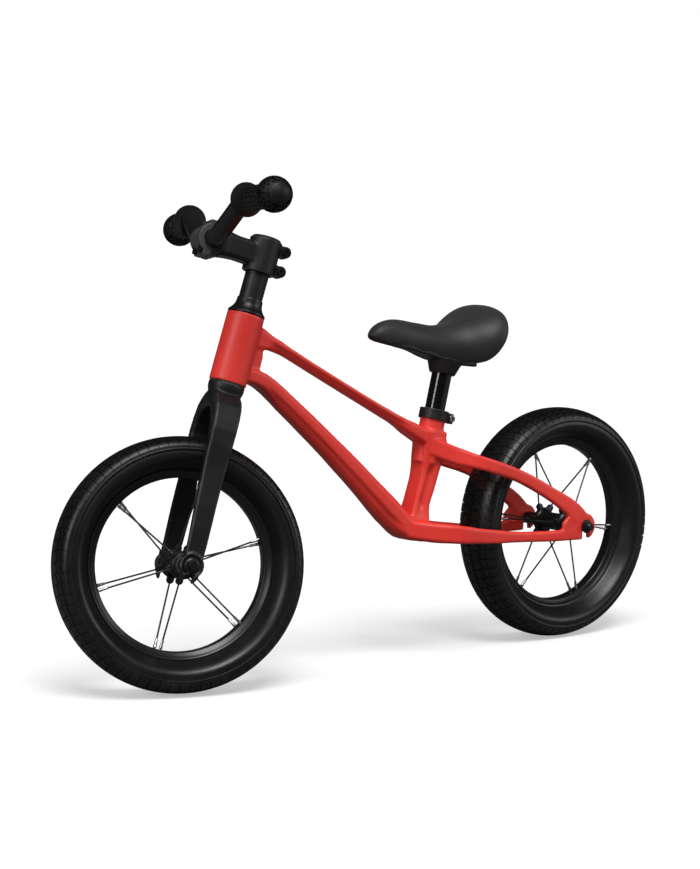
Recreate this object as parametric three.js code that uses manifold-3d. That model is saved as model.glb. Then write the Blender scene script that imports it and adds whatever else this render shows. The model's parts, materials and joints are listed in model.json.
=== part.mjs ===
// Child's balance bike, millimetres. +X forward, +Y rider's left, +Z up, ground at z = 0.
// Pieces are laid out from the point under the rear axle, the steered ones about the steering axis,
// and the whole is moved at the end so the origin lies under its middle.
import * as THREE from "three";
import { mergeVertices } from "three/addons/utils/BufferGeometryUtils.js";
import Module from "manifold-3d";

const wasm = await Module();
wasm.setup();

const gap = 0.3; // clearance between touching pieces
const rightAngle = Math.PI / 2;

// layout
const tyreRadius = 150;
const wheelbase = 605;
const headAngle = 70.8; // degrees from the ground
const forkRake = -1.7;
const restSteer = -21.9; // the bars stand turned to the rider's right
const seatAngle = 75.5;

// wheels
const tyreHalfWidth = 31;
const treadHalfWidth = tyreHalfWidth - 12;
const rimInner = 101;
const rimOuter = rimInner + 10;
const rimWellRadius = rimInner + 5;
const rimHalfWidth = 12.5;
const rimEdgeHalf = 7.2;
const spokeRadius = 1.1;
const nippleRadius = 2;
const nippleLength = 8;
const spokesPerSide = 6;
const spokePairSpread = 1.6; // degrees either side of the pair's middle at the rim
const flangeRadius = 19;
const flangeThickness = 4;
const flangeInset = 21; // flange middle from the wheel's middle plane
const lobeCount = 6;
const lobeRadius = 4.5;
const hubCoreHalf = 26;
const axleRadius = 4.8;
const bearingRadius = axleRadius + 5.7;
const bearingWidth = 8;
const coneRadius = axleRadius + 3.2;
const hubBarrelRadius = bearingRadius + 1.5;
const frontSpokeTurn = 29; // degrees, where the first pair of spokes stands
const rearSpokeTurn = 9;

// fork
const bladeTopHalf = tyreHalfWidth + 14;
const forkInnerHalf = bladeTopHalf + 5.5; // half the gap between the fork ends
const forkEndThickness = 8;
const crownHeight = 199; // crown middle above the axle, along the steering axis
const crownCollarTop = crownHeight + 20.7;
const bladeFoot = 20;
const bossRise = 2; // round boss proud of the blade's foot
const recessDepth = 2.5;
const nutRadius = axleRadius + 2.7;
const nutFlangeRadius = nutRadius + 3.5;
const recessRadius = nutFlangeRadius + 1.5;
const nutHeight = 6;
const axleTip = 4;
const steererRadius = 14.3;
const steererWall = 2.4;

// head tube and headset
const headTubeBottom = crownCollarTop + gap;
const headTubeLength = 84;
const headTubeTop = headTubeBottom + headTubeLength;
const headBearingDepth = 9;
const headBearingRadius = steererRadius + 4.7;
const headTubeRadius = headBearingRadius + 3.5;
const neckRadius = steererRadius + 5.2;
const collarRadius = headTubeRadius - 0.7;
const coverTop = headTubeTop + 19;

// stem and handlebar
const stemMid = coverTop + 53;
const stemReach = 67;
const stemClampHalf = 20.5;
const stemClampRadius = steererRadius + 5.2;
const barClampHalf = 21;
const earHalf = 8.5;
const earRadius = 7.2;
const boltRadius = 3;
const boltHeadRadius = 4.6;
const barRadius = 11;
const barClampRadius = barRadius + 7;
const faceBoltRise = barRadius + boltRadius + 1.8; // below the bar's middle
const faceHalfHeight = faceBoltRise + 5.2;
const barRise = 35.5;
const barSweep = 6; // degrees
const gripStart = 122;
const gripLength = 66;
const gripRadius = barRadius + 3.5;
const gripFlangeRadius = gripRadius + 5.5;
const ballRadius = gripRadius + 7;
const barHalf = 208;

// seat
const seatPostRadius = 12.7;
const seatTubeRadius = seatPostRadius + 3.1;
const seatPostWall = 2;
const seatPostLength = 100;
const seatBoreDepth = 56;
const seatTubeRise = 158.5; // seat tube's mouth above the axles
const seatTubeTopX = 210; // and ahead of the rear axle
const collarHeight = 13;
const collarThickness = 2.6;
const saddleTail = seatTubeTopX - 115;
const saddleLength = 204;
const saddleHalfWidth = 62;
const saddleNoseHalf = 21;
const cupRise = 44.5; // underside of the saddle's cup above the seat tube's mouth
const cupDepth = 8; // how far the post stands in the cup

// frame members
const tubeHalfWidth = seatPostRadius - 0.7;
const stayInner = tyreHalfWidth + 7;
const dropoutInner = stayInner + 14;
const dropoutThickness = 7;
const dropoutRadius = 17;

const v = (x, y, z) => new THREE.Vector3(x, y, z);
const rad = THREE.MathUtils.degToRad;

const paint = {
  frame: [0xc9231b, 0.38, 0.05],
  blackMetal: [0x141415, 0.45, 0.4],
  blackGloss: [0x0b0b0c, 0.18, 0.3],
  rubber: [0x1b1b1c, 0.85, 0],
  plastic: [0x161617, 0.55, 0],
  foam: [0x242425, 0.7, 0],
  steel: [0xb9babc, 0.3, 0.9],
  alloy: [0x54565a, 0.4, 0.8],
};

// ---------- solids ----------

function solid(geometry) {
  const g = geometry.clone();
  g.deleteAttribute("normal");
  g.deleteAttribute("uv");
  const merged = mergeVertices(g, 1e-4);
  const mesh = new wasm.Mesh({
    numProp: 3,
    vertProperties: new Float32Array(merged.attributes.position.array),
    triVerts: new Uint32Array(merged.index.array),
  });
  return new wasm.Manifold(mesh);
}

function join(...geometries) {
  return geometries.map(solid).reduce((a, b) => a.add(b));
}

function toGeometry(manifold) {
  const mesh = manifold.getMesh();
  const g = new THREE.BufferGeometry();
  g.setAttribute("position", new THREE.BufferAttribute(Float32Array.from(mesh.vertProperties), 3));
  g.setIndex(new THREE.BufferAttribute(Uint32Array.from(mesh.triVerts), 1));
  return g;
}

const bike = new THREE.Group();
bike.name = "balance_bike";

function addPiece(name, shape, [color, roughness, metalness]) {
  const geometry = shape.isBufferGeometry ? shape : toGeometry(shape);
  geometry.computeVertexNormals();
  const mesh = new THREE.Mesh(geometry, new THREE.MeshStandardMaterial({ color, roughness, metalness }));
  mesh.name = name;
  bike.add(mesh);
}

// rod from a to b, round, with its own number of sides
function rod(a, b, radius, sides = 16, endRadius = radius) {
  const along = b.clone().sub(a);
  const g = new THREE.CylinderGeometry(endRadius, radius, along.length(), sides);
  g.applyQuaternion(new THREE.Quaternion().setFromUnitVectors(v(0, 1, 0), along.clone().normalize()));
  const mid = a.clone().add(b).multiplyScalar(0.5);
  return g.translate(mid.x, mid.y, mid.z);
}

// ring of revolution about Z from [radius, z] corners listed once around, either way
function turned(corners, sides = 40) {
  const points = corners.map(([r, z]) => new THREE.Vector2(r, z));
  if (THREE.ShapeUtils.area(points) < 0) {
    points.reverse();
  }
  points.push(points[0].clone());
  return new THREE.LatheGeometry(points, sides).rotateX(rightAngle);
}

const turnedAboutY = (corners, sides) => turned(corners, sides).rotateX(-rightAngle);

// A limb follows a smooth line; its section is a rectangle with cut corners whose half sizes
// change along it. `across` is the direction the section's width keeps to.
function limb(stations, across = v(0, 1, 0), steps = 3, cut = 0.34) {
  const path = new THREE.CatmullRomCurve3(stations.map((s) => s.at), false, "centripetal");
  const rings = (stations.length - 1) * steps;
  const g = new THREE.CylinderGeometry(1, 1, 1, 8, rings);
  const spot = g.attributes.position;
  for (let i = 0; i < spot.count; i += 1) {
    const t = THREE.MathUtils.clamp(spot.getY(i) + 0.5, 0, 1);
    const here = Math.min(Math.floor(t * (stations.length - 1)), stations.length - 2);
    const part = THREE.MathUtils.smoothstep(t * (stations.length - 1) - here, 0, 1);
    const wide = THREE.MathUtils.lerp(stations[here].wide, stations[here + 1].wide, part);
    const tall = THREE.MathUtils.lerp(stations[here].tall, stations[here + 1].tall, part);
    const tangent = path.getTangent(t);
    const side = across.clone().addScaledVector(tangent, -across.dot(tangent)).normalize();
    const up = side.clone().cross(tangent);
    const [a, b] = cornerOf(Math.atan2(spot.getX(i), spot.getZ(i)), wide, tall, cut);
    const offCentre = Math.hypot(spot.getX(i), spot.getZ(i)) > 0.5 ? 1 : 0;
    const p = path.getPoint(t).addScaledVector(side, a * offCentre).addScaledVector(up, b * offCentre);
    spot.setXYZ(i, p.x, p.y, p.z);
  }
  return g;
}

function cornerOf(angle, wide, tall, cut) {
  const slot = Math.round(angle / (Math.PI / 4) + 8) % 8;
  const quarter = Math.floor(slot / 2);
  const chamfer = Math.min(wide, tall) * cut;
  const signs = [[1, 1], [1, -1], [-1, -1], [-1, 1]][quarter];
  const onTall = slot % 2 === (quarter % 2 === 0 ? 0 : 1);
  const a = signs[0] * (onTall ? wide - chamfer : wide);
  const b = signs[1] * (onTall ? tall : tall - chamfer);
  return [a, b];
}

const station = (x, y, z, wide, tall) => ({ at: v(x, y, z), wide, tall });

const mirroredPair = (makeSide) => [makeSide(1), makeSide(-1)];

function slab(outline, halfWidth) {
  const shape = new THREE.Shape(outline.map(([x, z]) => new THREE.Vector2(x, z)));
  const g = new THREE.ExtrudeGeometry(shape, { depth: 2 * halfWidth, bevelEnabled: false });
  return g.translate(0, 0, -halfWidth).rotateX(rightAngle);
}

// ---------- steering frame ----------

const steerTilt = new THREE.Matrix4().makeBasis(
  v(Math.sin(rad(headAngle)), 0, Math.cos(rad(headAngle))),
  v(0, 1, 0),
  v(-Math.cos(rad(headAngle)), 0, Math.sin(rad(headAngle))),
);
const steerOrigin = v(wheelbase, 0, tyreRadius)
  .sub(v(Math.sin(rad(headAngle)), 0, Math.cos(rad(headAngle))).multiplyScalar(forkRake));

const headPlace = new THREE.Matrix4().makeTranslation(steerOrigin).multiply(steerTilt);
const steeredPlace = headPlace.clone().multiply(new THREE.Matrix4().makeRotationZ(rad(restSteer)));

const inHead = (geometry) => geometry.applyMatrix4(headPlace);
const onAxis = (along) => v(0, 0, along).applyMatrix4(headPlace);

function addSteered(name, shape, look) {
  const geometry = shape.isBufferGeometry ? shape : toGeometry(shape);
  addPiece(name, geometry.applyMatrix4(steeredPlace), look);
}

// ---------- wheel ----------

function tyre() {
  const bead = rimOuter + gap;
  const section = tyreRadius - bead;
  const belly = bead + section * 0.5;
  const ankle = bead + section * 0.27;
  const shoulder = bead + section * 0.715;
  const treadEdge = bead + section * 0.91;
  const thickness = 4;
  return turnedAboutY([
    [bead, rimHalfWidth],
    [ankle, tyreHalfWidth - 4],
    [belly, tyreHalfWidth],
    [shoulder, tyreHalfWidth - 3],
    [treadEdge, treadHalfWidth],
    [tyreRadius, 0],
    [treadEdge, -treadHalfWidth],
    [shoulder, -tyreHalfWidth + 3],
    [belly, -tyreHalfWidth],
    [ankle, -tyreHalfWidth + 4],
    [bead, -rimHalfWidth],
    [belly, -tyreHalfWidth + thickness],
    [shoulder - 1, 0],
    [belly, tyreHalfWidth - thickness],
  ], 48);
}

function rim() {
  return turnedAboutY([
    [rimInner, rimEdgeHalf],
    [rimOuter - 2, rimHalfWidth],
    [rimOuter, rimHalfWidth],
    [rimWellRadius, rimHalfWidth - 5],
    [rimWellRadius, -rimHalfWidth + 5],
    [rimOuter, -rimHalfWidth],
    [rimOuter - 2, -rimHalfWidth],
    [rimInner, -rimEdgeHalf],
  ], 48);
}

// flange lobes carry the spokes
function hub(turn) {
  const seat = bearingRadius + gap;
  const seatDeep = hubCoreHalf - bearingWidth - gap;
  const shell = turnedAboutY([
    [seat, hubCoreHalf],
    [seat + 3, hubCoreHalf],
    [flangeRadius - 4, flangeInset + flangeThickness / 2],
    [flangeRadius, flangeInset + flangeThickness / 2],
    [flangeRadius, flangeInset - flangeThickness / 2],
    [hubBarrelRadius, flangeInset - 4],
    [hubBarrelRadius, -flangeInset + 4],
    [flangeRadius, -flangeInset + flangeThickness / 2],
    [flangeRadius, -flangeInset - flangeThickness / 2],
    [flangeRadius - 4, -flangeInset - flangeThickness / 2],
    [seat + 3, -hubCoreHalf],
    [seat, -hubCoreHalf],
    [seat, -seatDeep],
    [axleRadius + 2, -seatDeep],
    [axleRadius + 2, seatDeep],
    [seat, seatDeep],
  ], 20);
  const lobes = [];
  for (const side of [1, -1]) {
    for (let i = 0; i < lobeCount; i += 1) {
      const a = rad(turn + (360 / lobeCount) * i);
      const middle = v(Math.cos(a) * flangeRadius, side * flangeInset, Math.sin(a) * flangeRadius);
      const half = v(0, flangeThickness / 2, 0);
      lobes.push(rod(middle.clone().sub(half), middle.clone().add(half), lobeRadius, 8));
    }
  }
  return join(shell, ...lobes);
}

// straight spoke from a flange lobe to the rim, its nipple at the rim end
function spoke(angle, side) {
  const radial = (degrees, r, y) => v(Math.cos(rad(degrees)) * r, y, Math.sin(rad(degrees)) * r);
  const start = radial(angle, flangeRadius + lobeRadius + gap, side * flangeInset);
  const end = radial(angle - side * spokePairSpread, rimInner - 3 * gap, side * rimEdgeHalf * 0.4);
  const along = end.clone().sub(start).normalize();
  const nippleFoot = end.clone().addScaledVector(along, -nippleLength);
  const inside = end.clone().addScaledVector(along, -1);
  return join(rod(start, inside, spokeRadius, 6), rod(nippleFoot, end, nippleRadius, 6));
}

function hubBearing(side) {
  const from = side * (hubCoreHalf - bearingWidth / 2);
  return turnedAboutY([
    [axleRadius + gap, bearingWidth / 2],
    [bearingRadius, bearingWidth / 2],
    [bearingRadius, -bearingWidth / 2],
    [axleRadius + gap, -bearingWidth / 2],
  ], 20).translate(0, from, 0);
}

function axle(shoulder, tip) {
  const core = hubCoreHalf + gap;
  return turnedAboutY([
    [0, tip],
    [axleRadius - 0.8, tip],
    [axleRadius, tip - 1],
    [axleRadius, shoulder],
    [coneRadius, shoulder],
    [coneRadius, core],
    [axleRadius, core],
    [axleRadius, -core],
    [coneRadius, -core],
    [coneRadius, -shoulder],
    [axleRadius, -shoulder],
    [axleRadius, -tip + 1],
    [axleRadius - 0.8, -tip],
    [0, -tip],
  ], 14);
}

// flanged hexagon nut standing out from `seat` on the side's own hand
function axleNut(seat, side) {
  const along = (from, to, radius, sides) => rod(v(0, side * from, 0), v(0, side * to, 0), radius, sides);
  const flange = along(seat, seat + 1.6, nutFlangeRadius, 24);
  const hex = along(seat + 1, seat + nutHeight, nutRadius, 6);
  return join(flange, hex).subtract(solid(along(seat - 1, seat + nutHeight + 1, axleRadius + gap, 20)));
}

function addWheel(label, add, turn, nutSeat, shoulder) {
  add(`${label}_tyre`, tyre(), paint.rubber);
  add(`${label}_rim`, rim(), paint.blackMetal);
  add(`${label}_hub`, hub(turn), paint.blackMetal);
  add(`${label}_axle`, axle(shoulder, nutSeat + nutHeight + axleTip), paint.blackMetal);
  for (const side of [1, -1]) {
    const hand = side > 0 ? "left" : "right";
    add(`${label}_hub_bearing_${hand}`, hubBearing(side), paint.steel);
    add(`${label}_axle_nut_${hand}`, axleNut(nutSeat, side), paint.blackMetal);
    for (let i = 0; i < spokesPerSide; i += 1) {
      const angle = turn + (360 / spokesPerSide) * i;
      add(`${label}_spoke_${hand}_${i + 1}`, spoke(angle, side), paint.steel);
    }
  }
}

// ---------- fork and steering ----------

function fork() {
  const outerHalf = forkInnerHalf + forkEndThickness;
  const endMiddle = forkInnerHalf + forkEndThickness / 2;
  const endHalf = forkEndThickness / 2;
  const half = [
    station(forkRake, endMiddle, -bladeFoot, 7, endHalf),
    station(forkRake, endMiddle, 6 - bladeFoot, 10.5, endHalf),
    station(forkRake, endMiddle, 24, 11.5, endHalf),
    station(0, endMiddle - 3, 70, 12.5, 5.5),
    station(0.8, bladeTopHalf + 1, 120, 14, 6.5),
    station(1.2, bladeTopHalf - 1, 160, 15.5, 7.5),
    station(1, bladeTopHalf - 13, crownHeight - 14, 17, 10),
    station(0.5, 13, crownHeight - 2, 18, 11),
  ];
  const other = half.map((s) => ({ ...s, at: v(s.at.x, -s.at.y, s.at.z) })).reverse();
  const arch = limb([...half, ...other], v(1, 0, 0), 2, 0.3);
  const neck = turned([
    [0, crownHeight - 4],
    [neckRadius, crownHeight - 4],
    [neckRadius, crownHeight + 6],
    [collarRadius, crownCollarTop - 7],
    [collarRadius, crownCollarTop],
    [0, crownCollarTop],
  ], 24);
  const across = (from, to, radius, sides) => rod(v(forkRake, from, 0), v(forkRake, to, 0), radius, sides);
  const bossFace = outerHalf + bossRise;
  const bosses = mirroredPair((side) => across(side * forkInnerHalf, side * bossFace, recessRadius + 2, 28));
  const recesses = mirroredPair((side) => (
    across(side * (bossFace - recessDepth), side * (bossFace + 7), recessRadius, 28)
  ));
  const axleHole = across(-outerHalf - 9, outerHalf + 9, axleRadius + gap, 20);
  const slot = new THREE.BoxGeometry(2 * (axleRadius + gap), 4 * outerHalf, 40).translate(forkRake, 0, -20);
  const steerer = rod(v(0, 0, crownHeight), v(0, 0, stemMid + stemClampHalf - 1), steererRadius, 28);
  const hollow = rod(v(0, 0, crownHeight + 8), v(0, 0, stemMid + 90), steererRadius - steererWall, 28);
  const body = join(arch, neck, steerer, ...bosses);
  return [...recesses, axleHole, slot, hollow].map(solid).reduce((a, b) => a.subtract(b), body);
}

function headsetCover() {
  const bore = steererRadius + gap;
  return turned([
    [bore, headTubeTop + gap],
    [headTubeRadius, headTubeTop + gap],
    [headTubeRadius, headTubeTop + 3],
    [headTubeRadius - 2.5, headTubeTop + 9],
    [steererRadius + 4, headTubeTop + 15],
    [steererRadius + 2, coverTop],
    [bore, coverTop],
  ], 28);
}

function headBearing(bottom) {
  return turned([
    [steererRadius + gap, bottom],
    [headBearingRadius - gap, bottom],
    [headBearingRadius - gap, bottom + headBearingDepth - gap],
    [steererRadius + gap, bottom + headBearingDepth - gap],
  ], 24);
}

function topCap() {
  const seat = stemMid + stemClampHalf + gap;
  return turned([
    [0, seat],
    [stemClampRadius - 2, seat],
    [stemClampRadius - 2, seat + 1.6],
    [stemClampRadius - 4, seat + 3],
    [0, seat + 3],
  ], 24);
}

const earBoltAt = -stemClampRadius - 5;
const stemBoltHeights = [stemMid - 12, stemMid + 12];
const faceBoltSpots = [12, -12].map((y) => [y, stemMid - faceBoltRise]);

const stemCross = (half, radius) => rod(v(stemReach, -half, stemMid), v(stemReach, half, stemMid), radius, 24);

function barHolder() {
  const block = new THREE.BoxGeometry(16, 2 * barClampHalf, 2 * faceHalfHeight);
  return join(stemCross(barClampHalf, barClampRadius), block.translate(stemReach, 0, stemMid));
}

function stemBody() {
  const low = stemMid - stemClampHalf;
  const high = stemMid + stemClampHalf;
  const clamp = rod(v(0, 0, low), v(0, 0, high), stemClampRadius, 28);
  const ears = stemBoltHeights.flatMap((z) => [
    rod(v(earBoltAt, -earHalf, z), v(earBoltAt, earHalf, z), earRadius, 20),
    new THREE.BoxGeometry(12, 2 * earHalf, 1.8 * earRadius).translate(earBoltAt + 5, 0, z),
  ]);
  const arm = limb([
    station(8, 0, stemMid, 15, 14),
    station(stemReach * 0.5, 0, stemMid, 15.5, 13.5),
    station(stemReach - 4, 0, stemMid, barClampHalf, 17),
  ], v(0, 1, 0), 3, 0.3);
  const frontCut = new THREE.BoxGeometry(60, 80, 80).translate(stemReach + 30 - gap, 0, stemMid);
  const steererHole = rod(v(0, 0, low - 5), v(0, 0, high + 5), steererRadius + gap, 28);
  const slit = new THREE.BoxGeometry(30, 2.4, 90).translate(-stemClampRadius - 2, 0, stemMid);
  const earBores = stemBoltHeights.map((z) => (
    rod(v(earBoltAt, -30, z), v(earBoltAt, 30, z), boltRadius + gap, 16)
  ));
  const faceBores = faceBoltSpots.map(([y, z]) => (
    rod(v(stemReach - 14, y, z), v(stemReach + 9, y, z), boltRadius + gap, 14)
  ));
  const cuts = [frontCut, stemCross(90, barRadius + gap), steererHole, slit, ...earBores, ...faceBores];
  return cuts.map(solid).reduce((a, b) => a.subtract(b), join(clamp, ...ears, arm).add(barHolder()));
}

function faceplate() {
  const rearCut = new THREE.BoxGeometry(60, 80, 80).translate(stemReach - 30 + gap, 0, stemMid);
  const bores = faceBoltSpots.map(([y, z]) => (
    rod(v(stemReach - 2, y, z), v(stemReach + 30, y, z), boltRadius + gap, 14)
  ));
  const seats = faceBoltSpots.map(([y, z]) => (
    rod(v(stemReach + 8, y, z), v(stemReach + 30, y, z), boltHeadRadius + gap, 16)
  ));
  const cuts = [rearCut, stemCross(90, barRadius + gap), ...bores, ...seats];
  return cuts.map(solid).reduce((a, b) => a.subtract(b), barHolder());
}

// socket screw with its head at `top`, pointing along `along`
function socketScrew(top, along, length) {
  const at = (d) => top.clone().addScaledVector(along, d);
  const head = rod(at(0), at(4), boltHeadRadius, 16);
  const shank = rod(at(3), at(length), boltRadius, 16);
  return join(head, shank).subtract(solid(rod(at(-2), at(2), 2.4, 6)));
}

// the straight outer part of the bar, swept back, that carries the grip
function gripLine(y) {
  const swept = (Math.abs(y) - gripStart) * Math.tan(rad(barSweep));
  return v(stemReach - swept, y, stemMid + barRise);
}

function handlebar() {
  const rise = stemMid + barRise;
  const half = [
    v(stemReach, 0, stemMid),
    v(stemReach, barClampHalf + 2, stemMid),
    v(stemReach, barClampHalf + 9, stemMid),
    v(stemReach, 72, stemMid + barRise * 0.46),
    v(stemReach + 0.5, 104, rise - 3),
    gripLine(gripStart - 6),
    gripLine(gripStart - 1),
    gripLine(barHalf - 6),
  ];
  const mirrored = half.slice(1).map((p) => v(p.x, -p.y, p.z)).reverse();
  const path = new THREE.CatmullRomCurve3([...mirrored, ...half], false, "centripetal");
  const ring = new THREE.Shape().absarc(0, 0, barRadius, 0, 2 * Math.PI);
  return new THREE.ExtrudeGeometry(ring, { extrudePath: path, steps: 30, curveSegments: 7, bevelEnabled: false });
}

// grip with an inner flange, a ribbed barrel and a ball at the end
function grip(side) {
  const from = gripLine(side * gripStart);
  const along = gripLine(side * barHalf).sub(from).normalize();
  const bore = barRadius + gap;
  const barEnd = from.distanceTo(gripLine(side * (barHalf - 6))) + gap;
  const ballAt = gripLength + 16;
  const g = turned([
    [bore, 0],
    [gripFlangeRadius, 0],
    [gripFlangeRadius, 2.5],
    [gripRadius + 2, 6],
    [gripRadius, 9],
    [gripRadius, ballAt - 17],
    [ballRadius * 0.85, ballAt - 11],
    [ballRadius, ballAt - 2],
    [ballRadius * 0.93, ballAt + 8],
    [ballRadius * 0.66, ballAt + 15],
    [ballRadius * 0.3, ballAt + 19.5],
    [0, ballAt + 20.5],
    [0, barEnd],
    [bore, barEnd],
  ], 24);
  g.applyQuaternion(new THREE.Quaternion().setFromUnitVectors(v(0, 0, 1), along));
  return g.translate(from.x, from.y, from.z);
}

// ---------- frame ----------

const seatLine = v(-Math.cos(rad(seatAngle)), 0, Math.sin(rad(seatAngle)));
const seatMouth = v(seatTubeTopX, 0, tyreRadius + seatTubeRise);
const onSeat = (along) => seatMouth.clone().addScaledVector(seatLine, along);

// Frame stations stand between three anchors: rear axle, seat tube mouth and head tube middle.
const headMiddle = onAxis((headTubeBottom + headTubeTop) / 2);
const seatLineX = (z) => seatMouth.x - (z - seatMouth.z) / Math.tan(rad(seatAngle));
const headLineX = (z) => headMiddle.x - (z - headMiddle.z) / Math.tan(rad(headAngle));

// a share of the way from the seat tube to the head tube, `above` the line that joins the anchors
function aheadSpot(share, above) {
  const z = THREE.MathUtils.lerp(seatMouth.z, headMiddle.z, share) + above;
  return [THREE.MathUtils.lerp(seatLineX(z), headLineX(z), share), z];
}

// a share of the way from the rear axle to the seat tube
function behindSpot(share, above) {
  const z = THREE.MathUtils.lerp(tyreRadius, seatMouth.z, share) + above;
  return [share * seatLineX(z), z];
}

function ahead(share, y, above, wide, tall) {
  const [x, z] = aheadSpot(share, above);
  return station(x, y, z, wide, tall);
}

function behind(share, y, above, wide, tall) {
  const [x, z] = behindSpot(share, above);
  return station(x, y, z, wide, tall);
}

function topTube() {
  return limb([
    ahead(1.026, 0, 23.7, tubeHalfWidth - 1, 17),
    ahead(0.9301, 0, 18.3, tubeHalfWidth - 1, 14),
    ahead(0.8493, 0, 17, tubeHalfWidth - 1, 7.8),
    ahead(0.773, 0, 13.3, tubeHalfWidth - 1, 5.6),
    ahead(0.678, 0, 7, tubeHalfWidth - 1, 5.3),
    ahead(0.3679, 0, -13.4, tubeHalfWidth - 1, 5.3),
    ahead(0.1997, 0, -24.4, tubeHalfWidth, 5.8),
    ahead(0.0665, 0, -33.5, tubeHalfWidth + 2, 9),
    ahead(-0.0492, 0, -42.1, tubeHalfWidth + 3, 12),
  ]);
}

function downTube() {
  return limb([
    ahead(0.9697, 0, -24.3, tubeHalfWidth, 9),
    ahead(0.8595, 0, -26.2, tubeHalfWidth + 1, 9.3),
    ahead(0.7229, 0, -43.2, tubeHalfWidth + 1, 11.5),
    ahead(0.5378, 0, -68.6, tubeHalfWidth + 1.5, 12.5),
    ahead(0.3188, 0, -102, tubeHalfWidth + 2, 14.5),
    ahead(0.1386, 0, -132.9, tubeHalfWidth + 4, 16.5),
    ahead(0.042, 0, -147.3, tubeHalfWidth + 6, 14),
    ahead(-0.0378, 0, -149.1, tubeHalfWidth + 6, 11),
  ]);
}

function seatLimb() {
  return limb([
    ahead(0, 0, -25.1, tubeHalfWidth + 4, 17),
    ahead(-0.007, 0, -46.3, tubeHalfWidth + 4, 17),
    ahead(-0.0096, 0, -85.6, tubeHalfWidth + 2, 13.5),
    ahead(-0.001, 0, -113.4, tubeHalfWidth + 2, 12.5),
    ahead(-0.0031, 0, -143.2, tubeHalfWidth + 5, 17),
  ], v(0, 1, 0), 3, 0.22);
}

// plate between the two tubes behind the head tube
function headGusset() {
  const outline = [
    aheadSpot(1.0103, 33.1),
    aheadSpot(0.9656, 29.1),
    aheadSpot(0.919, 17.3),
    aheadSpot(0.8972, 8.2),
    aheadSpot(0.8906, -2.2),
    aheadSpot(0.8904, -14.2),
    aheadSpot(0.8901, -32.2),
    aheadSpot(0.9377, -30.4),
  ];
  return slab(outline, tubeHalfWidth - 3);
}

function upperStay(side) {
  return limb([
    behind(1.0317, side * 8, -47.5, 8, 12),
    behind(0.8726, side * 22, -36.3, 7, 11),
    behind(0.721, side * (stayInner + 5.5), -23.3, 5.5, 8.5),
    behind(0.4739, side * (stayInner + 8), -2.1, 5.5, 8),
    behind(0.2602, side * (stayInner + 12), 7.8, 5, 8.5),
    behind(0.0733, side * (dropoutInner + 3.5), 9.4, 3.6, 11),
    behind(0, side * (dropoutInner + 3.5), 2, 3.5, 12),
  ]);
}

function lowerStay(side) {
  return limb([
    behind(1.058, side * 8, -154.7, 10, 12),
    behind(0.932, side * 24, -139.7, 11, 12.5),
    behind(0.821, side * (stayInner + 4), -125.1, 7.5, 11.5),
    behind(0.6368, side * (stayInner + 7), -101.9, 5.5, 9),
    behind(0.3958, side * (stayInner + 9), -69.2, 5.5, 6.5),
    behind(0.1579, side * (dropoutInner + 2), -34, 4.5, 7),
    behind(0, side * (dropoutInner + 3.5), -8, 3.5, 9),
  ]);
}

// fills the sharp corner where the two stays meet ahead of the drop-out
function stayWeb(side) {
  const outline = [
    behindSpot(0, -6),
    behindSpot(0.1148, -31),
    behindSpot(0.141, -29.5),
    behindSpot(0.1542, -24),
    behindSpot(0.1509, -16),
    behindSpot(0.123, -6),
    behindSpot(0.08, 6),
    behindSpot(0, 9),
  ];
  return slab(outline, dropoutThickness / 2 - 0.4).translate(0, side * (dropoutInner + dropoutThickness / 2), 0);
}

function dropout(side) {
  const near = side * dropoutInner;
  const far = side * (dropoutInner + dropoutThickness);
  return rod(v(0, near, tyreRadius), v(0, far, tyreRadius), dropoutRadius, 28);
}

function frame() {
  const headTube = inHead(rod(v(0, 0, headTubeBottom), v(0, 0, headTubeTop), headTubeRadius, 32));
  const seatTube = rod(onSeat(0), onSeat(-42), seatTubeRadius, 28);
  const body = join(
    headTube,
    seatTube,
    topTube(),
    downTube(),
    seatLimb(),
    headGusset(),
    ...mirroredPair(upperStay),
    ...mirroredPair(lowerStay),
    ...mirroredPair(stayWeb),
    ...mirroredPair(dropout),
  );
  const headBore = inHead(rod(v(0, 0, headTubeBottom - 3), v(0, 0, headTubeTop + 3), steererRadius + 2, 24));
  const bearingSeats = [headTubeBottom - 3, headTubeTop - headBearingDepth].map((from) => (
    inHead(rod(v(0, 0, from), v(0, 0, from + headBearingDepth + 3), headBearingRadius, 24))
  ));
  const postBore = rod(onSeat(-seatBoreDepth), onSeat(5), seatPostRadius + gap, 28);
  const wheelRoom = rod(v(0, -stayInner, tyreRadius), v(0, stayInner, tyreRadius), tyreRadius + 6, 48);
  const axleBore = rod(v(0, -90, tyreRadius), v(0, 90, tyreRadius), axleRadius + gap, 20);
  const slot = new THREE.BoxGeometry(2 * (axleRadius + gap), 200, 40).translate(0, 0, tyreRadius - 20);
  const hubRoom = rod(v(0, -dropoutInner, tyreRadius), v(0, dropoutInner, tyreRadius), flangeRadius, 28);
  const cuts = [headBore, ...bearingSeats, postBore, wheelRoom, hubRoom, axleBore, slot];
  return cuts.map(solid).reduce((a, b) => a.subtract(b), body);
}

// ---------- seat ----------

const cupHeight = seatMouth.z + cupRise;
const seatPostTopAlong = cupRise / Math.sin(rad(seatAngle)) + cupDepth;

function seatPost() {
  const post = turned([
    [seatPostRadius - seatPostWall, 0],
    [seatPostRadius, 0],
    [seatPostRadius, seatPostLength],
    [seatPostRadius - seatPostWall, seatPostLength],
  ], 32);
  const low = onSeat(seatPostTopAlong - seatPostLength);
  post.applyQuaternion(new THREE.Quaternion().setFromUnitVectors(v(0, 0, 1), seatLine));
  return post.translate(low.x, low.y, low.z);
}


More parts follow.
